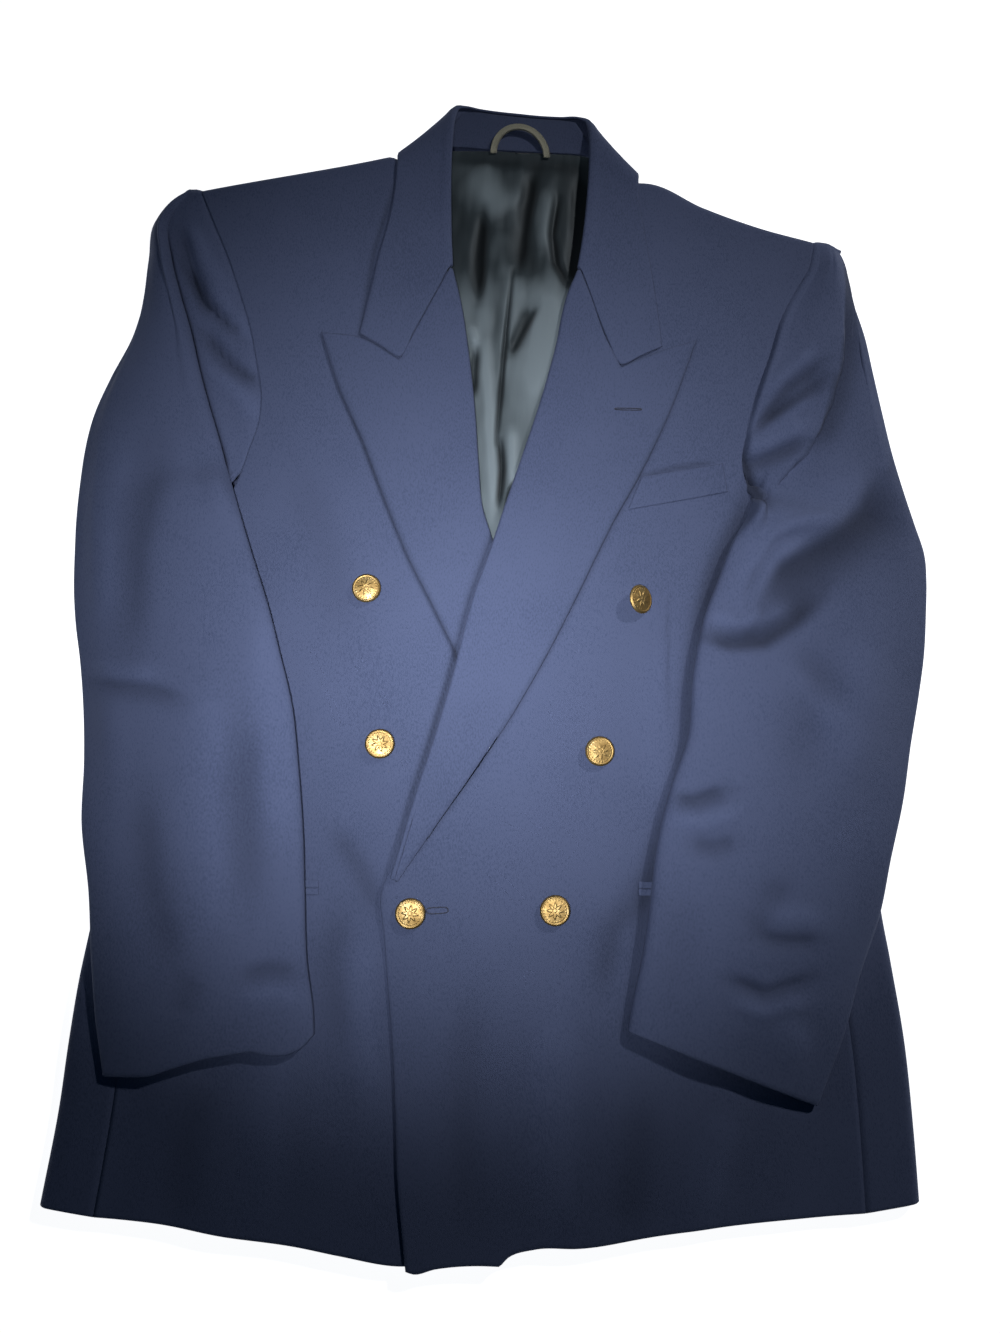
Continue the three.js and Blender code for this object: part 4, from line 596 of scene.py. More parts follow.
def mesh_piece(name, points, faces, material, node_name=None, tones=None):
    """A smooth mesh from points in drawing millimetres, riding on the frame."""
    placed = (np.asarray(points, float) + [SHIFT_X, SHIFT_Y, 0]) * MM
    mesh = bpy.data.meshes.new(name)
    mesh.from_pydata(placed.tolist(), [], [list(map(int, face)) for face in faces])
    mesh.validate()
    mesh.polygons.foreach_set("use_smooth", [True] * len(mesh.polygons))
    # The shade attribute carries painted shade, which the wool materials multiply into their colour
    if tones is not None:
        mesh.attributes.new("shade", "FLOAT", "POINT").data.foreach_set("value", tones.tolist())
    mesh.materials.append(material)
    mesh.update()
    piece = bpy.data.objects.new(name, mesh)
    bpy.context.scene.collection.objects.link(piece)
    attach(piece, "root")
    if node_name:
        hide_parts(node_name)


# ---- heights
def under_z(x, y, grooves=True):
    """Height of the right front, which lies under the left one."""
    x, y = np.asarray(x, float), np.asarray(y, float)
    tip = np.where(x < 0, -236, 244)
    reach = np.clip(1 - np.abs(x - tip) / 190, 0, 1)
    rise = SHOULDER_RISE * ease(0, 1, reach) * ease(150, 330, y)
    yoke = 1.6 * ease(250, 380, y)
    soft = 0.25 * ripple(x, y, 85, 11) + crease_height(FRONT_CREASES, x, y)
    if grooves:
        soft = soft + crease_height(UNDER_GROOVES, x, y)
    return FRONT_Z + rise + yoke + fold_height(FRONT_FOLDS, x, y) + soft


def top_z(x, y):
    """Height of the left front, lifted over the right front and its lapel."""
    lift = OVERLAP_LIFT + LAPEL_LIFT * ease(-215, -168, y)
    shown = (1 - ease(104, 175, y)) * (1 - ease(58, 150, x))
    return under_z(x, y, False) + lift * shown + crease_height(TOP_GROOVES, x, y)


def back_z(x, y):
    """Height of the back, raised a little at its neck."""
    fall = 396 + (95 - x) * 0.087
    lift = 2.6 * ease(0, 10, y - fall + 14) * ease(-80, -68, x)
    return BACK_Z + lift * (1 - ease(92, 102, x))


def base_z(side, x, y):
    """Height of the front at a point under a sleeve; side is -1 for the right, 1 for the left."""
    return float(top_z(x, y) if side > 0 else under_z(x, y))


# ---- materials
def plug(tree, item, inputs):
    """Sets each input to a number or a colour, or links a socket to it."""
    for key, value in inputs.items():
        if isinstance(value, bpy.types.NodeSocket):
            tree.links.new(value, item.inputs[key])
        else:
            item.inputs[key].default_value = value


def node(tree, kind, inputs, **settings):
    item = tree.nodes.new("ShaderNode" + kind)
    for key, value in settings.items():
        setattr(item, key, value)
    plug(tree, item, inputs)
    return item


def material(name, color, roughness, metallic=0.0):
    mat = bpy.data.materials.new(name)
    mat.use_nodes = True
    shader = mat.node_tree.nodes["Principled BSDF"]
    plug(mat.node_tree, shader,
         {"Base Color": (*color, 1), "Roughness": roughness, "Metallic": metallic})
    return mat, mat.node_tree, shader


def coordinates(tree, turn=0.0, stretch=(1, 1, 1)):
    source = node(tree, "TexCoord", {})
    return node(tree, "Mapping", {"Scale": stretch, "Rotation": (0, 0, turn),
                                  "Vector": source.outputs["Object"]}).outputs["Vector"]


def noise(tree, scale, detail=2.0, turn=0.0, stretch=(1, 1, 1)):
    vector = coordinates(tree, turn, stretch)
    return node(tree, "TexNoise",
                {"Scale": scale, "Detail": detail, "Vector": vector}).outputs["Fac"]


def wave(tree, scale, turn, distortion=0.6):
    vector = coordinates(tree, turn)
    return node(tree, "TexWave", {"Scale": scale, "Distortion": distortion, "Detail": 1.0,
                                  "Vector": vector}).outputs["Fac"]


def multiply_add(tree, value, factor, added):
    return node(tree, "Math", {0: value, 1: factor, 2: added}, operation="MULTIPLY_ADD").outputs[0]


def ramp(tree, factor, stops):
    """Colours at places along a factor, the last one last."""
    item = node(tree, "ValToRGB", {"Fac": factor})
    elements = item.color_ramp.elements
    for element, (place, color) in zip((elements[0], elements[1]), (stops[0], stops[-1])):
        element.position, element.color = place, (*color, 1)
    for place, color in stops[1:-1]:
        elements.new(place).color = (*color, 1)
    return item.outputs["Color"]


def bump(tree, shader, layers):
    """Stacked bump layers: (height output, strength, distance in metres)."""
    below = {}
    for height, strength, distance in layers:
        item = node(tree, "Bump", {"Strength": strength, "Distance": distance,
                                   "Height": height, **below})
        below = {"Normal": item.outputs["Normal"]}
    plug(tree, shader, below)


def wool_material(name, turn=0.0, tone=1.0):
    """Navy worsted twill: fine diagonal ribs, speckled yarn and a short nap; painted shade from the
    shade attribute darkens its colour.
    """
    mat, tree, shader = material(name, (0.05, 0.06, 0.12), 0.9)
    speck = noise(tree, 2400)
    slub = noise(tree, 1200, 2.0, turn, (1.0, 0.4, 1.0))
    patch = noise(tree, 16)
    twill = wave(tree, 330, turn + math.radians(34))
    yarn = multiply_add(tree, twill, 0.14, multiply_add(tree, speck, 0.5, slub))
    aged = multiply_add(tree, patch, 0.35, yarn)
    # tone paints a whole copy of the cloth lighter, as painted light, or darker, as painted shade
    dark, mid, pale = (tuple(c * tone for c in color) for color in (
        (0.045, 0.0575, 0.108), (0.051, 0.0655, 0.121), (0.068, 0.084, 0.150)))
    color = ramp(tree, aged, [(0.66, dark), (0.85, mid), (1.0, pale)])
    # Painted shade: the colour is scaled by the shade attribute, darker in creases and grooves
    shade = node(tree, "Attribute", {}, attribute_name="shade")
    toned = node(tree, "VectorMath", {0: color, "Scale": shade.outputs["Fac"]}, operation="SCALE")
    plug(tree, shader, {"Base Color": toned.outputs[0], "Sheen Weight": 0.06,
                        "Sheen Roughness": 0.6, "Sheen Tint": (0.55, 0.62, 0.85, 1),
                        "Specular IOR Level": 0.22})
    bump(tree, shader, [(slub, 0.2, 0.0004), (speck, 0.3, 0.0003), (twill, 0.4, 0.00018)])
    return mat


def lining_material():
    """Slippery satin with faint warp streaks, darker where it lies deep: painted shade taken from
    its height.
    """
    mat, tree, shader = material("lining_satin", (0.03, 0.038, 0.042), 0.5)
    streak = noise(tree, 90, 3.0, stretch=(1.0, 0.12, 1.0))
    # Painted shade: the colour runs from near black where the satin lies low to pale grey where it
    # rises
    source = node(tree, "TexCoord", {})
    axes = node(tree, "SeparateXYZ", {0: source.outputs["Object"]})
    depth = node(tree, "MapRange", {"From Min": 0.0030, "From Max": 0.0112,
                                    "Value": axes.outputs["Z"]})
    mixed = multiply_add(tree, streak, 0.22, depth.outputs[0])
    color = ramp(tree, mixed, [(0.24, (0.0012, 0.0018, 0.002)), (0.52, (0.024, 0.031, 0.034)),
                               (0.98, (0.15, 0.18, 0.192))])
    plug(tree, shader, {"Base Color": color, "Specular IOR Level": 0.3,
                        "Specular Tint": (0.8, 0.92, 1.0, 1), "Anisotropic": 0.3,
                        "Sheen Weight": 0.15})
    twill = wave(tree, 420, math.radians(-45), 0.3)
    bump(tree, shader, [(streak, 0.25, 0.0010), (twill, 0.15, 0.00008)])
    return mat


def brass_material():
    """Gilt brass, rubbed bright in places and dull in between."""
    mat, tree, shader = material("brass_gilt", (0.48, 0.32, 0.125), 0.5, 1.0)
    wear = noise(tree, 130, 3.0)
    color = ramp(tree, wear, [(0.3, (0.29, 0.18, 0.06)), (0.55, (0.42, 0.28, 0.105)),
                              (0.8, (0.55, 0.41, 0.20))])
    rough = ramp(tree, wear, [(0.3, (0.58, 0.58, 0.58)), (0.7, (0.44, 0.44, 0.44))])
    plug(tree, shader, {"Base Color": color, "Roughness": rough})
    bump(tree, shader, [(noise(tree, 1400), 0.08, 0.00006)])
    return mat


def thread_material(name, color, twist=1500):
    mat, tree, shader = material(name, color, 0.7)
    ply = wave(tree, twist, math.radians(40), 0.2)
    tint = ramp(tree, ply, [(place, tuple(c * gain for c in color))
                            for place, gain in ((0.2, 0.65), (0.8, 1.25))])
    plug(tree, shader, {"Base Color": tint, "Sheen Weight": 0.2})
    bump(tree, shader, [(ply, 0.5, 0.0002)])
    return mat


WOOL = wool_material("wool_front")
# Painted light: the sleeves' copy is painted 7% lighter. Painted shade: the copy for the back, the
# under sleeves and the collar stand, which lie underneath, is painted 20% darker.
WOOL_SLEEVE_LIT = wool_material("wool_sleeve_lit", math.radians(8), 1.07)
WOOL_LAPEL = wool_material("wool_lapel", math.radians(-24))
WOOL_UNDER_SHADED = wool_material("wool_under_shaded", 0.0, 0.8)
SATIN = lining_material()
BRASS = brass_material()
STRAP = thread_material("strap_weave", (0.30, 0.28, 0.20), 900)
NAVY_THREAD = thread_material("navy_thread", (0.018, 0.022, 0.045))


# ---- body panels
def turn_shoulder(grid):
    """Rows that turn a front over its shoulder fold and under."""
    edge = grid[-1]
    run = unit(np.gradient(edge[:, :2], axis=0))
    flip = np.where(run[:, :1] > 0, 1, -1)
    out = np.column_stack([-run[:, 1], run[:, 0]]) * flip
    half = (edge[:, 2] - BACK_Z) / 2
    rows = []
    for turn in np.radians((75, 60, 40, 20, 0, -25, -45, -60, -75, -90)):
        xy = edge[:, :2] + out * SHOULDER_BULGE * math.cos(turn)
        rows.append(np.column_stack([xy, BACK_Z + half + half * math.sin(turn)]))
    last = rows[-1].copy()
    for reach in (2, 5, SHOULDER_TURN):
        row = last.copy()
        row[:, :2] -= out * reach
        rows.append(row)
    return np.concatenate([grid, np.array(rows)])


ARM_EDGES = {}


def front_panel(node_name, hem, shoulder, edge, arm, height, shade):
    """A front with its turned shoulder; keeps its armhole edge for the sleeve."""
    grid = panel_grid(hem, shoulder, edge, arm, height, columns=110, rows=250)
    turned = turn_shoulder(grid)
    ARM_EDGES[node_name] = turned[int(len(grid) * UNDERARM):len(grid) + 5, -1]
    shell(node_name, inset(turned, right=0.1, top=SEAM), WALL, WOOL, round_sides="btl", shade=shade)


# The fronts' colour is darkened in their creases and grooves as painted shade, and beside the left
# sleeve's inner edge as its painted shadow
front_panel("front_left", HEM_LEFT, SHOULDER_LEFT, front_edge(EDGE_LEFT, LAPEL_LEFT, 1, NECK_LEFT),
            seam_line(SIDE_LEFT, SIDE_SEAM_UPPER) + ARM_LEFT, top_z,
            creased((FRONT_CREASES, 0.18), (TOP_GROOVES, 0.25)))
front_panel("front_right", HEM_RIGHT, SHOULDER_RIGHT,
            front_edge(EDGE_RIGHT, LAPEL_RIGHT, -1, NECK_RIGHT),
            seam_line(SIDE_RIGHT, SIDE_SEAM_UPPER) + ARM_RIGHT, under_z,
            creased((FRONT_CREASES, 0.18), (UNDER_GROOVES, 0.3)))


def side_panel(node_name, side, height):
    """From the side seam at the back, round the silhouette, to the side seam in front."""
    t = np.linspace(0, 1, 150)
    upper = seam_points(side, SIDE_SEAM_UPPER, t)
    half = (height(upper[:, 0], upper[:, 1]) - BACK_Z) / 2
    columns = []
    for set_in in (SIDE_SEAM_LOWER, 28, 22, 16, 11):
        columns.append(np.column_stack([seam_points(side, set_in, t), np.full(len(t), BACK_Z)]))
    for turn in np.radians(range(-90, 91, 15)):
        xy = seam_points(side, 7 - 6 * math.cos(turn), t)
        columns.append(np.column_stack([xy, BACK_Z + half + half * math.sin(turn)]))
    for set_in, drop in ((11, 0), (16, 0), (22, 0), (28, 0), (33, 0), (SIDE_SEAM_UPPER - 0.6, 0),
                         (SIDE_SEAM_UPPER - 0.1, 1.3), (SIDE_SEAM_UPPER + 3, 2.6)):
        xy = seam_points(side, set_in, t)
        columns.append(np.column_stack([xy, height(xy[:, 0], xy[:, 1]) - drop]))
    shell(node_name, inset(np.array(columns).swapaxes(0, 1), left=SEAM, top=0.5), WALL, WOOL)


side_panel("side_right", SIDE_RIGHT, under_z)
side_panel("side_left", SIDE_LEFT, top_z)


def back_panel(node_name, table):
    seam = seam_line(table["side"], SIDE_SEAM_LOWER)
    bottom = [seam[0][:2]] + table["hem"]
    centre = [(-13, -400), (16, 409)]
    grid = panel_grid(bottom, table["top"], seam + table["arm"], centre, back_z,
                      columns=40, rows=120)
    shell(node_name, inset(grid, left=SEAM, right=SEAM, top=SEAM), WALL, WOOL_UNDER_SHADED, upright=True)


back_panel("back_right", BACK_RIGHT)
back_panel("back_left", BACK_LEFT)


# ---- lapels and collar
def roll_fold(tip, towards, inward):
    """Seven points that fold cloth back on itself; inward is the hidden side."""
    centre = tip + towards * ROLL_RADIUS
    points = [centre + inward * ROLL_RADIUS + towards * 0.4]
    for turn in np.radians((60, 30, 0, -30, -60, -90)):
        points.append(centre - towards * ROLL_RADIUS * math.cos(turn)
                      + inward * ROLL_RADIUS * math.sin(turn))
    return points


def lapel(node_name, table, sign, height, loft, grooves):
    """A lapel from its roll line to its edge; the left one is lofted a little."""
    v = np.linspace(0, 1, 171)
    roll, edge = track(table["roll"])(v), track(table["edge"])(v)
    shares = np.concatenate([np.linspace(0.04, 0.5, 16), np.linspace(0.52, 0.8, 10),
                             np.linspace(0.82, 1, 9)])
    gorge = track(table["gorge"])(shares)
    first, last = np.array(table["roll"][0][:2]), np.array(table["gorge"][-1][:2])
    chord = first + (last - first) * shares[:, None]
    run = unit(np.gradient(roll, axis=0))
    inwards = np.column_stack([-run[:, 1], run[:, 0]]) * sign
    grid = []
    for j in range(len(v)):
        towards = np.array([*inwards[j], 0])
        lift = 2.4 * ease(0.86, 0.97, v[j]) if loft > 0 else 0
        z = float(height(*roll[j])) + LAPEL_ROLL_LIFT + loft + lift
        tip = np.array([*roll[j], z]) + towards
        row = roll_fold(tip, towards, np.array([0, 0, -1.0]))
        start = row[-1][:2]
        fade = 1 - float(ease(0, 0.2, v[j]))
        flat = start + (edge[j] - start) * shares[:, None] + (gorge - chord) * fade
        swell = 0.5 * np.sin(math.pi * shares) * (1 - 0.4 * v[j])
        level = height(flat[:, 0], flat[:, 1]) + LAPEL_OVER + loft + swell
        if loft > 0:
            level = level + 1.2 * np.exp(-((flat[:, 0] - 96) ** 2 + (flat[:, 1] - 128) ** 2) / 300)
        row.extend(np.column_stack([flat, level]))
        grid.append(row)
    # The lapel's colour is darkened along its grooves as painted shade
    shell(node_name, inset(np.array(grid), bottom=0.3), LAPEL_WALL, WOOL_LAPEL,
          shade=creased((grooves, 0.2)))


lapel("lapel_right", LAPEL_RIGHT, -1, under_z, 0, UNDER_GROOVES)
lapel("lapel_left", LAPEL_LEFT, 1, top_z, LEFT_LAPEL_LOFT, TOP_GROOVES)


def collar_grid():
    shares = np.array([0.17, 0.34, 0.51, 0.68, 0.84, 1])
    grid = []
    for j, (rx, ry, rz, ex, ey, ez, degrees, sag) in enumerate(COLLAR):
        notch = track(NOTCH_LEFT if j < len(COLLAR) / 2 else NOTCH_RIGHT)
        first, last, bow = notch(0)[0], notch(1)[0], notch(shares)
        turn = math.radians(degrees)
        roll = np.array([rx, ry, rz or float(under_z(rx, ry)) + COLLAR_ROLL_LIFT])
        edge = np.array([ex, ey, ez or float(under_z(ex, ey)) + LAPEL_OVER])
        neck = unit([16 - rx, 405 - ry, 0])
        hidden = unit(np.array([0, 0, math.sin(turn)]) + neck * math.cos(turn))
        aim = edge - roll
        if abs(degrees) == 90:
            aim[2] = 0
        row = roll_fold(roll, unit(aim), hidden)
        for share, point in zip(shares, bow):
            flat = lerp(row[6], edge, share)
            chord = first + (last - first) * share
            x, y = flat[:2] + (point - chord) * sag
            z = flat[2]
            if degrees == -90:
                z = float(under_z(x, y)) + LAPEL_OVER
            if degrees == 90:
                z = lerp(flat[2], BACK_Z, float(ease(0, 0.5, share)))
            row.append(np.array([x, y, z]))
        grid.append(row)
    return np.array(grid)


shell("collar", inset(refine(collar_grid(), 3.0, 2.5), bottom=0.3, top=0.3), WALL, WOOL_LAPEL)


def stand_grid():
    rows = []
    for share in (0, 0.25, 0.5, 0.75, 1):
        rows.append([(lerp(lx, ux, share), lerp(ly, uy, share), z + 0.9 * math.sin(math.pi * share))
                     for lx, ly, ux, uy, z in STAND])
    return refine(rows, 2.5, 3.0)


shell("collar_stand", stand_grid(), STAND_WALL, WOOL_UNDER_SHADED)


def lining_grid():
    seam = track([(row[0], row[1]) for row in STAND])
    ys = np.concatenate([np.linspace(LINING[k][0], LINING[k + 1][0], 11)[:-1]
                         for k in range(len(LINING) - 1)] + [[LINING[-1][0]]])
    table = np.array(LINING)[::-1]
    left, right, calm = (np.interp(ys, table[:, 0], table[:, k]) for k in (1, 2, 3))
    u = np.linspace(0, 1, 110)
    x = left[:, None] + (right - left)[:, None] * u
    share = np.clip((x - STAND[0][0]) / (STAND[-1][0] - STAND[0][0]), 0, 1)
    top = seam(share.ravel())[:, 1].reshape(x.shape) - 1.5
    y = np.minimum(ys[:, None] * np.ones_like(x), top)
    z = LINING_Z + 0.8 * ease(380, 400, y) + 2.4 * ease(318, 285, y)
    folds = 0.4 * fold_height(LINING_FOLDS, x, y) + crease_height(LINING_CREASES, x, y)
    folds = folds + 0.35 * ripple(x * 1.8, y * 0.5, 18, 5)
    z = z + folds * calm[:, None]
    middle, most = 6.6, 4.2
    return np.dstack([x, y, middle + most * np.tanh((z - middle) / most)])


shell("back_lining", lining_grid(), LINING_WALL, SATIN, upright=True, name="lining_satin_cloth")


# ---- sleeves
# side is -1 for the right sleeve and 1 for the left, whose cap also shows past its fold
SILHOUETTE = {-1: SIDE_RIGHT, 1: SIDE_LEFT}


def low_at(side, row, x, y):
    """Height of a sleeve's lower side: over the front, down past the side, flat under the cap."""
    ox, oy, _, _, cap = row[4:9]
    if cap > 0:
        return BACK_Z
    silhouette = SILHOUETTE[side]
    hang = side * (ox - side_x(silhouette, oy))
    over = base_z(side, x, y) + SLEEVE_OVER
    edge = lerp(over, BACK_Z, float(ease(12, 30, hang)))
    past = side * (x - side_x(silhouette, y))
    return lerp(over, edge, float(ease(2.5, max(hang - 6, 10), past)))


def cuff_thin(y):
    """Share of a sleeve's thickness that is left towards the cuff."""
    return 1 - 0.5 * float(ease(-170, -270, y))


def sleeve_top(side, row, share, x, y):
    """Height of a sleeve's upper side at a share of the way from its inner to its outer fold."""
    ax, ay, fx, fy, ox, oy, _, _, cap, step, rise, crown = row
    inner = (base_z(side, ax, ay) + step + min(rise, 0) if cap == 1
             else base_z(side, fx, fy) + SLEEVE_OVER + INNER_ROLL[side] * cuff_thin(fy))
    outer = low_at(side, row, ox, oy) + OUTER_FOLD_DEPTH * cuff_thin(oy) + 2.5 * cap
    crown = crown or lerp(7 * cuff_thin(fy), 6.5, cap)
    arch = math.sin(math.pi * min(max(share, 0), 1)) ** (1.1 if side > 0 and cap == 1 else 0.75)
    z = lerp(inner, outer, share ** 1.5) + crown * arch
    if cap == 0:
        z = max(z, low_at(side, row, x, y) + 6 * cuff_thin(fy))
    return z


def sleeve_section(side, row):
    """Points (x, y, z, how much the folds show, cap share) from the seam, or from the armhole
    where there is a cap, round the inner and outer fold to the seam below."""
    ax, ay, fx, fy, ox, oy, ex, ey, cap, step, rise, _ = row
    width = math.hypot(ox - fx, oy - fy)
    out = np.array([(ox - fx) / width, (oy - fy) / width])
    low = low_at(side, row, ox, oy)
    under = base_z(side, fx, fy) + SLEEVE_OVER
    f, o = np.array([fx, fy]), np.array([ox, oy])
    points = []

    def add(reach, z, mask=0):
        """A point this far outwards from the inner fold."""
        points.append((*(f + out * reach), z, mask, cap))

    if cap == 1:
        za = base_z(side, ax, ay) + rise
        for share in ((0, 0.34, 0.67) if side < 0 else (0, 0.12, 0.25, 0.4, 0.55, 0.7, 0.84, 0.95)):
            x, y = lerp(ax, fx, share), lerp(ay, fy, share)
            hump = step * float(ease(0, 0.5, share)) if side > 0 else 0
            mask = float(ease(0.1, 0.4, share)) if side > 0 else math.sin(math.pi * share)
            points.append((x, y, za + hump, mask, 1))
        if side < 0:
            for reach, drop in ((-3.2, 0.0), (-1.9, -1.6), (-0.6, -4.2), (1.8, -4.4), (2.2, -2.0)):
                add(reach, za + drop * float(1 - ease(300, 328, fy)))
            for reach, height in ((0.4, 0.1), (0.2, 0.6), (1.0, 0.9)):
                add(reach, za + step * height, 0.1)
    elif cap > 0:
        for reach in ((3,) if side > 0 else (3, 2.9, 2.8, 2.6)):
            points.append((ax + out[0] * reach, ay + out[1] * reach, under - 0.2, 0, cap))
        for reach, height in ((2.4, 0.1), (1.7, 0.5), (1, 0.9), (0.5, 1.3), (0.2, 1.7), (0, 2.6),
                              (0.6, 4.2)):
            add(reach, under + height)
    else:
        for depth in ((SLEEVE_SEAM, 10, 5) if side > 0 else (SLEEVE_SEAM, 14, 11, 8, 6, 4.5)):
            x, y = f + out * depth
            add(depth, base_z(side, x, y) + SLEEVE_OVER)
        for reach, height in ((3.4, 0.1), (2.6, 0.32), (0.2, 0.46), (0, 0.7), (0.8, 0.92)):
            add(reach, under + INNER_ROLL[side] * cuff_thin(fy) * height)
    if side > 0:
        cut = float(np.clip((side_x(CAP_FOLD, fy) - fx) / (ox - fx), 0, 1)) if cap > 0 else 0.3
        gap = 3.4 / width
        shares = sorted([2 / width, cut * 0.5, min(cut - gap, 0.78), min(cut - gap * 0.35, 0.8),
                         min(cut + gap * 0.35, 0.83), min(cut + gap, 0.86),
                         lerp(cut, 1, 0.38), lerp(cut, 1, 0.68)])
    else:
        shares = [min(3 / width, 0.2), 0.2, 0.38, 0.56, 0.72, 0.85]
    for share in shares:
        x, y = lerp(f, o, share)
        rising = 1.0 if side > 0 and cap == 1 else float(ease(0, 0.12, share))
        mask = rising * float(1 - ease(0.88, 1, share))
        points.append((x, y, sleeve_top(side, row, share, x, y), mask, cap))
    top = sleeve_top(side, row, 1, ox, oy)
    half = (top - low) / 2
    bulge = min(5.5, width * 0.2)
    for turn in np.radians((75, 30, -10, -50, -90)):
        x, y = o - out * (1 + bulge - bulge * math.cos(turn))
        points.append((x, y, low + half + half * math.sin(turn), 0, cap))
    last = points[-1]
    if cap > 0:
        points.append(tuple(lerp(np.array(last), np.array([ex, ey, BACK_Z, 0, cap]), 0.5)))
        points.append((ex, ey, BACK_Z, 0, cap))
        return points
    past = side * (last[0] - side_x(SILHOUETTE[side], last[1])) - 2.5
    reach = SLEEVE_SEAM - 1 - bulge
    for depth in (past if 1.5 < past < reach - 1.5 else reach / 2, reach):
        x, y = np.array(last[:2]) - out * depth
        points.append((x, y, low_at(side, row, x, y), 0, 0))
    return points


def join_armhole(grid, edge):
    """Draws the first columns of a sleeve to the armhole edge of its front."""
    for row in grid:
        cap = row[0, 4]
        if cap < 0.55:
            continue
        start, end = edge[:-1], edge[1:]
        run = end[:, :2] - start[:, :2]
        share = ((row[0, :2] - start[:, :2]) * run).sum(axis=1)
        share = np.clip(share / np.maximum((run ** 2).sum(axis=1), 1e-9), 0, 1)[:, None]
        near = start + (end - start) * share
        away = np.linalg.norm(near[:, :2] - row[0, :2], axis=1)
        target = near[np.argmin(away)]
        gap = unit(row[0, :2] - target[:2]) * 0.15
        shift = np.array([*(target[:2] + gap), target[2]]) - row[0, :3]
        shift = shift * float(ease(0.55, 0.95, cap))
        steps = np.linalg.norm(np.diff(row[:, :3], axis=0), axis=1)
        walked = np.concatenate([[0], np.cumsum(steps)])
        row[:, :3] += shift * (1 - ease(0, 15, walked))[:, None]
        row[:, 2] -= 0.7 * np.exp(-(walked / 1.1) ** 2)
    tuck = grid[:, :1].copy()
    tuck[..., :2] -= unit(grid[:, 1:2, :2] - grid[:, :1, :2]) * 2.4
    tuck[..., 2] -= 2.3
    return np.concatenate([tuck, grid], 1)


def close_head(grid, away, reach):
    """Rounds the open end of a sleeve over at the shoulder."""
    first = grid[0]
    middle = (first[:, 2].max() + first[:, 2].min()) / 2
    rows = []
    for turn in np.radians((86, 70, 50, 30, 14)):
        row = first.copy()
        row[:, :2] += np.array(away) * reach * math.sin(turn)
        row[:, 2] = middle + (first[:, 2] - middle) * math.cos(turn)
        rows.append(row)
    return np.concatenate([np.array(rows), grid])


def sleeve_shade(side, creases):
    """Painted shade: darker in the creases, and beyond the fold of the left cap, where the cloth
    drops away.
    """
    tone = creased((creases, 0.078))

    def shade(x, y):
        beyond = x - side_x(CAP_FOLD, y)
        low = ease(150, 180, y) * (1 - ease(300, 318, y)) * (side > 0)
        return tone(x, y) * (1 - 0.45 * low * ease(-0.6, 1.2, beyond) * (1 - ease(3, 26, beyond)))
    return shade


def cuff_wave(side, grid):
    """The wavy hem of the right cuff, with its rounded inner corner."""
    if side > 0:
        return grid
    above = grid[..., 1] - np.interp(grid[..., 0], *zip(*CUFF_LINE))
    wave = np.interp(grid[..., 0], *zip(*CUFF_WAVE))
    grid[..., 1] += wave * (1 - ease(0, 34, above))
    return grid


def sleeve(word, side, table, creases):
    grid = cuff_wave(side, refine([sleeve_section(side, row) for row in table], 2.9, 2.7))
    x, y, mask = grid[..., 0], grid[..., 1], np.clip(grid[..., 3], 0, 1)
    detail = 0.5 * fold_height(SLEEVE_FOLDS, x, y) + 0.35 * ripple(x, y, 42, 21 + side)
    detail = detail + crease_height(creases, x, y)
    if side > 0:
        beyond = x - side_x(CAP_FOLD, y)
        fade = ease(126, 150, y) * (1 - ease(235, 275, y)) * (mask > 0.02)
        detail = detail + fade * (2.8 - 8.6 * ease(-1.2, 1.8, beyond) + 5.6 * ease(3, 34, beyond))
        over = np.exp(-((beyond + 1.0) / 1.3) ** 2) - 0.8 * np.exp(-((beyond - 1.6) / 1.3) ** 2)
        grid[..., 0] += fade * 2.6 * over
    grid[..., 2] += detail * mask
    grid = join_armhole(grid, ARM_EDGES["front_" + word])
    grid = close_head(grid, unit([-0.24, 0.97] if side < 0 else [0.44, 0.9]), 2.6)
    # The sleeve's colour is darkened by painted shade
    shell(f"sleeve_{word}_top", inset(grid[..., :3], right=0.6, bottom=0.4), WALL, WOOL_SLEEVE_LIT,
          shade=sleeve_shade(side, creases), name=f"sleeve_{word}_cloth")


def under_sleeve(word, side, table):
    grid = []
    for row in table:
        cap = row[8]
        if cap == 1:
            continue
        section = sleeve_section(side, row)
        start, end = np.array(section[0][:3]), np.array(section[-1][:3])
        crossing = side_x(SILHOUETTE[side], end[1]) + side * 2.5 - start[0]
        crossing = crossing / (end[0] - start[0])
        cut = crossing if crossing < 0.96 else 0.7
        points = []
        for share in (0, cut / 3, 2 * cut / 3, cut, lerp(cut, 1, 0.5), 1):
            p = lerp(start, end, share)
            if cap > 0:
                over = base_z(side, p[0], p[1]) + SLEEVE_OVER
                z = lerp(over, BACK_Z, float(ease(cut, 1, share)))
            else:
                z = low_at(side, row, p[0], p[1])
            points.append((p[0], p[1], start[2] if share == 0 else z))
        grid.append(points)
    grid = inset(cuff_wave(side, refine(grid, 5.0, 4.0)), left=1.2, right=1.2)
    shell(f"sleeve_{word}_under", grid, WALL, WOOL_UNDER_SHADED)


sleeve("right", -1, SLEEVE_RIGHT, RIGHT_CREASES)
sleeve("left", 1, SLEEVE_LEFT, LEFT_CREASES)
under_sleeve("right", -1, SLEEVE_RIGHT)
under_sleeve("left", 1, SLEEVE_LEFT)


# ---- pockets
TRIM_GAP = 0.35


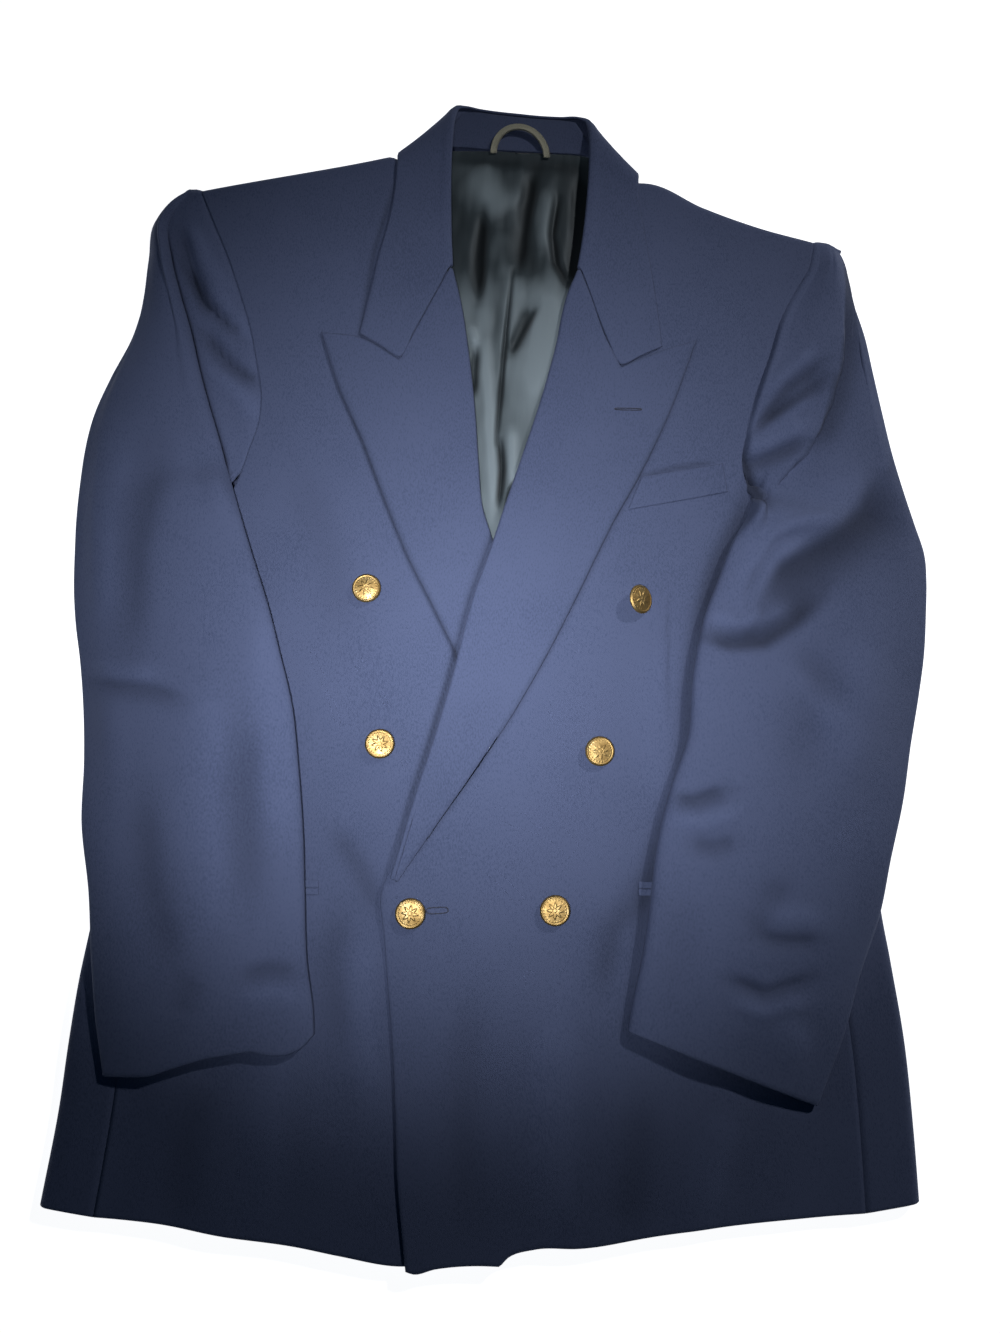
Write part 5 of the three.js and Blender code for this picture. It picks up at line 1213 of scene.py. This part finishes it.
def strip(node_name, rows, columns, lower, upper, height):
    """A narrow trim between two lines, each from one point to another."""
    share = np.linspace(0, 1, rows + 1)[:, None, None]
    start, end = (lerp(np.array(lower[k]), np.array(upper[k]), share) for k in (0, 1))
    xy = lerp(start, end, np.linspace(0, 1, columns + 1)[:, None])
    z = height(xy[..., 0], xy[..., 1]) + WALL / 2 + TRIM_GAP + TRIM_WALL / 2
    shell(node_name, np.dstack([xy, z]), TRIM_WALL, WOOL, upright=True)


strip("breast_welt", 16, 44, [(94.5, 114.8), (169, 129.5)], [(105.5, 141), (166, 151.5)], top_z)
for word, near, far, level, height in (("left", 97, 234, -159, top_z),
                                       ("right", -127, -250, -158.4, under_z)):
    for place, y, high_y in (("upper", level, level + 4.7), ("lower", level - 5, level - 0.4)):
        strip(f"pocket_jet_{word}_{place}", 6, 60, [(near, y), (far, y - 1)],
              [(near, high_y), (far, high_y - 1)], height)


# ---- hanging loop
def loop_grid():
    """An arch of ribbed band that stands up from the collar seam."""
    turn = np.radians(np.linspace(180, 0, 73))
    width, radius_x, radius_y, centre_x = 5.4, 21, 21.5, 15.8
    centre_y = 406.5 - 1.98 * np.cos(turn)
    rows = []
    for side in (-0.5, -0.42, -0.36, -0.15, 0, 0.15, 0.36, 0.42, 0.5):
        ridge = 0.25 if 0.3 < abs(side) < 0.45 else (-0.15 if side == 0 else 0)
        rows.append(np.column_stack([centre_x + (radius_x + side * width) * np.cos(turn),
                                     centre_y + (radius_y + side * width) * np.sin(turn),
                                     7.6 + 4.4 * np.sin(turn) + ridge]))
    return np.array(rows)


shell("hanging_loop", loop_grid(), STRAP_WALL, STRAP, upright=True, name="hanging_loop_strap")


# ---- buttons
# centre x, y, tilt and spin in degrees, the front it is on
BUTTONS = [
    ("right_upper", -97.5, 55.5, 0, 10, under_z), ("right_middle", -86, -58, 6, -14, under_z),
    ("right_lower", -62, -175.6, 0, 8, top_z), ("left_upper", 99.5, 46, 36, 20, top_z),
    ("left_middle", 70, -63.6, 8, -6, top_z), ("left_lower", 38, -173.6, 0, 3, top_z)]
BUTTON_RADIUS = 10.5
BUTTON_SIDES = 160
BUTTON_GAP = 0.2
FACE_Z = 3.8
BEADS = 24
STAR_POINTS = 8
# radius and height from the rim down the back and the shank to the foot
BUTTON_BACK = [(BUTTON_RADIUS, 3.2), (BUTTON_RADIUS - 0.3, 2.75), (BUTTON_RADIUS - 1, 2.6),
               (4.2, 2.6), (3.2, 2.4), (3.0, 0.2), (2.4, 0.0), (0.12, 0.0)]


def band_faces(rings, sides, closed=False):
    """Quads round a stack of rings of points."""
    return [(j * sides + k, (j + 1) % rings * sides + k,
             (j + 1) % rings * sides + (k + 1) % sides, j * sides + (k + 1) % sides)
            for j in range(rings if closed else rings - 1) for k in range(sides)]


def button_height(radius, angle):
    """Domed face with a raised rim, a ring of beads and a plain eight-pointed star."""
    share = radius / BUTTON_RADIUS
    z = 1.7 * (1 - share ** 2) ** 0.5 * (share < 1)
    z = z + 0.45 * np.exp(-((radius - 9.3) / 0.55) ** 2)
    beads = np.maximum(0, np.cos(angle * BEADS)) * np.exp(-((radius - 7.7) / 0.45) ** 2)
    star = 2.4 + 3.4 * np.abs(((angle * STAR_POINTS / (2 * math.pi)) % 1) - 0.5) * 2
    face = 0.34 * (1 / (1 + np.exp((radius - star) * 4)))
    groove = -0.16 * np.exp(-((radius - 1.5) / 0.35) ** 2)
    return z + 0.22 * beads + face + groove


def button(word, cx, cy, tilt, spin, height):
    """A shank button whose face tilts on its foot."""
    sides = BUTTON_SIDES
    radii = [*np.linspace(0.12, BUTTON_RADIUS - 0.5, 57),
             *(BUTTON_RADIUS - gap for gap in (0.25, 0.08, 0))]
    angles = np.linspace(0, 2 * math.pi, sides, endpoint=False)
    rings = [(r, FACE_Z + button_height(r, angles + math.radians(spin))) for r in radii]
    rings += BUTTON_BACK
    x, y = (np.array([r * turned(angles) for r, _ in rings]) for turned in (np.cos, np.sin))
    z = np.array([np.broadcast_to(level, sides) for _, level in rings])
    turn = math.radians(tilt)
    lift = BUTTON_RADIUS * math.sin(turn) * 0.62
    foot = z < 1
    base = float(height(cx, cy)) + WALL / 2 + BUTTON_GAP
    placed = np.dstack([cx + np.where(foot, x, x * math.cos(turn) + z * math.sin(turn)), cy + y,
                        base + np.where(foot, z, z * math.cos(turn) - x * math.sin(turn) + lift)])
    count, flat = len(placed), placed.reshape(-1, 3)
    flat = np.concatenate([flat, [placed[0].mean(axis=0), placed[-1].mean(axis=0)]])
    faces = band_faces(count, sides)
    top_id, bottom_id, last = count * sides, count * sides + 1, (count - 1) * sides
    for k in range(sides):
        n = (k + 1) % sides
        faces += [(top_id, k, n), (bottom_id, last + n, last + k)]
    mesh_piece(f"button_{word}_metal", flat, faces, BRASS, "button_" + word)


for entry in BUTTONS:
    button(*entry)


# ---- buttonholes
def buttonhole(name, x1, y1, x2, y2, half, above):
    """A ring of uneven thread round a slot between two points, above the left front."""
    count, sides, radius = 90, 8, 0.42
    turn = 2 * math.pi * np.arange(count) / count
    length = math.hypot(x2 - x1, y2 - y1)
    run = np.array([(x2 - x1) / length, (y2 - y1) / length])
    across = np.array([-run[1], run[0]])
    along, wide = (reach * np.sign(t) * np.abs(t) ** 0.6
                   for reach, t in ((length / 2, np.cos(turn)), (half, np.sin(turn))))
    xy = np.array([(x1 + x2) / 2, (y1 + y2) / 2]) + run * along[:, None] + across * wide[:, None]
    path = np.column_stack([xy, top_z(xy[:, 0], xy[:, 1]) + above])
    ahead = unit(np.roll(path, -1, axis=0) - np.roll(path, 1, axis=0))
    side = unit(np.cross(ahead, np.array([0, 0, 1.0])))
    up = np.cross(side, ahead)
    angles = np.linspace(0, 2 * math.pi, sides, endpoint=False)[:, None]
    wobble = radius * (1 + 0.25 * np.sin(np.arange(count) * 2.1))[:, None, None]
    ring = side[:, None] * np.cos(angles) + up[:, None] * np.sin(angles)
    points = (path[:, None] + ring * wobble).reshape(-1, 3)
    faces = [(a, d, c, b) for a, b, c, d in band_faces(count, sides, closed=True)]
    mesh_piece(name, points, faces, NAVY_THREAD)


buttonhole("buttonhole_front", -51, -174, -36, -173.4, 2.1, WALL / 2 + 0.1)
buttonhole("buttonhole_lapel", 86, 193, 106, 192.4, 0.7,
           LAPEL_OVER + LEFT_LAPEL_LOFT + 0.5 + LAPEL_WALL / 2)


# ---- stage
FLOOR_HALF = 6.0
FLOOR_Z = -0.0012
floor_mesh = bpy.data.meshes.new("floor")
floor_mesh.from_pydata([(x * FLOOR_HALF, y * FLOOR_HALF, 0)
                        for x, y in ((-1, -1), (1, -1), (1, 1), (-1, 1))], [], [(0, 1, 2, 3)])
floor = bpy.data.objects.new("floor", floor_mesh)
bpy.context.scene.collection.objects.link(floor)
floor.location.z = FLOOR_Z
floor_white, tree, shader = material("floor_white", (0.86, 0.86, 0.87), 0.95)
plug(tree, shader, {"Emission Color": (1, 1, 1, 1), "Emission Strength": 0.95})
floor_mesh.materials.append(floor_white)


def area_light(name, x, y, z, size, power, color, aim_at, spread):
    data = bpy.data.lights.new(name, "AREA")
    data.spread = math.radians(spread)
    data.size = size
    data.energy = power
    data.color = color
    item = bpy.data.objects.new(name, data)
    bpy.context.scene.collection.objects.link(item)
    item.location = (x, y, z)
    aim = Vector(aim_at) - item.location
    item.rotation_euler = aim.to_track_quat("-Z", "Y").to_euler()


area_light("key", 0.85, 0.75, 1.0, 0.09, 1.95, (1.0, 0.99, 1.0), (0.24, -0.02, 0), 87)
area_light("front", -0.08, -0.16, 0.80, 0.10, 0.90, (0.97, 1.0, 1.08), (-0.026, 0.006, 0), 51.6)
world = bpy.data.worlds.new("world")
bpy.context.scene.world = world
world.use_nodes = True
plug(world.node_tree, world.node_tree.nodes["Background"],
     {"Color": (0.12, 0.55, 1.0, 1), "Strength": 0.035})
bpy.context.scene.view_settings.view_transform = "Standard"
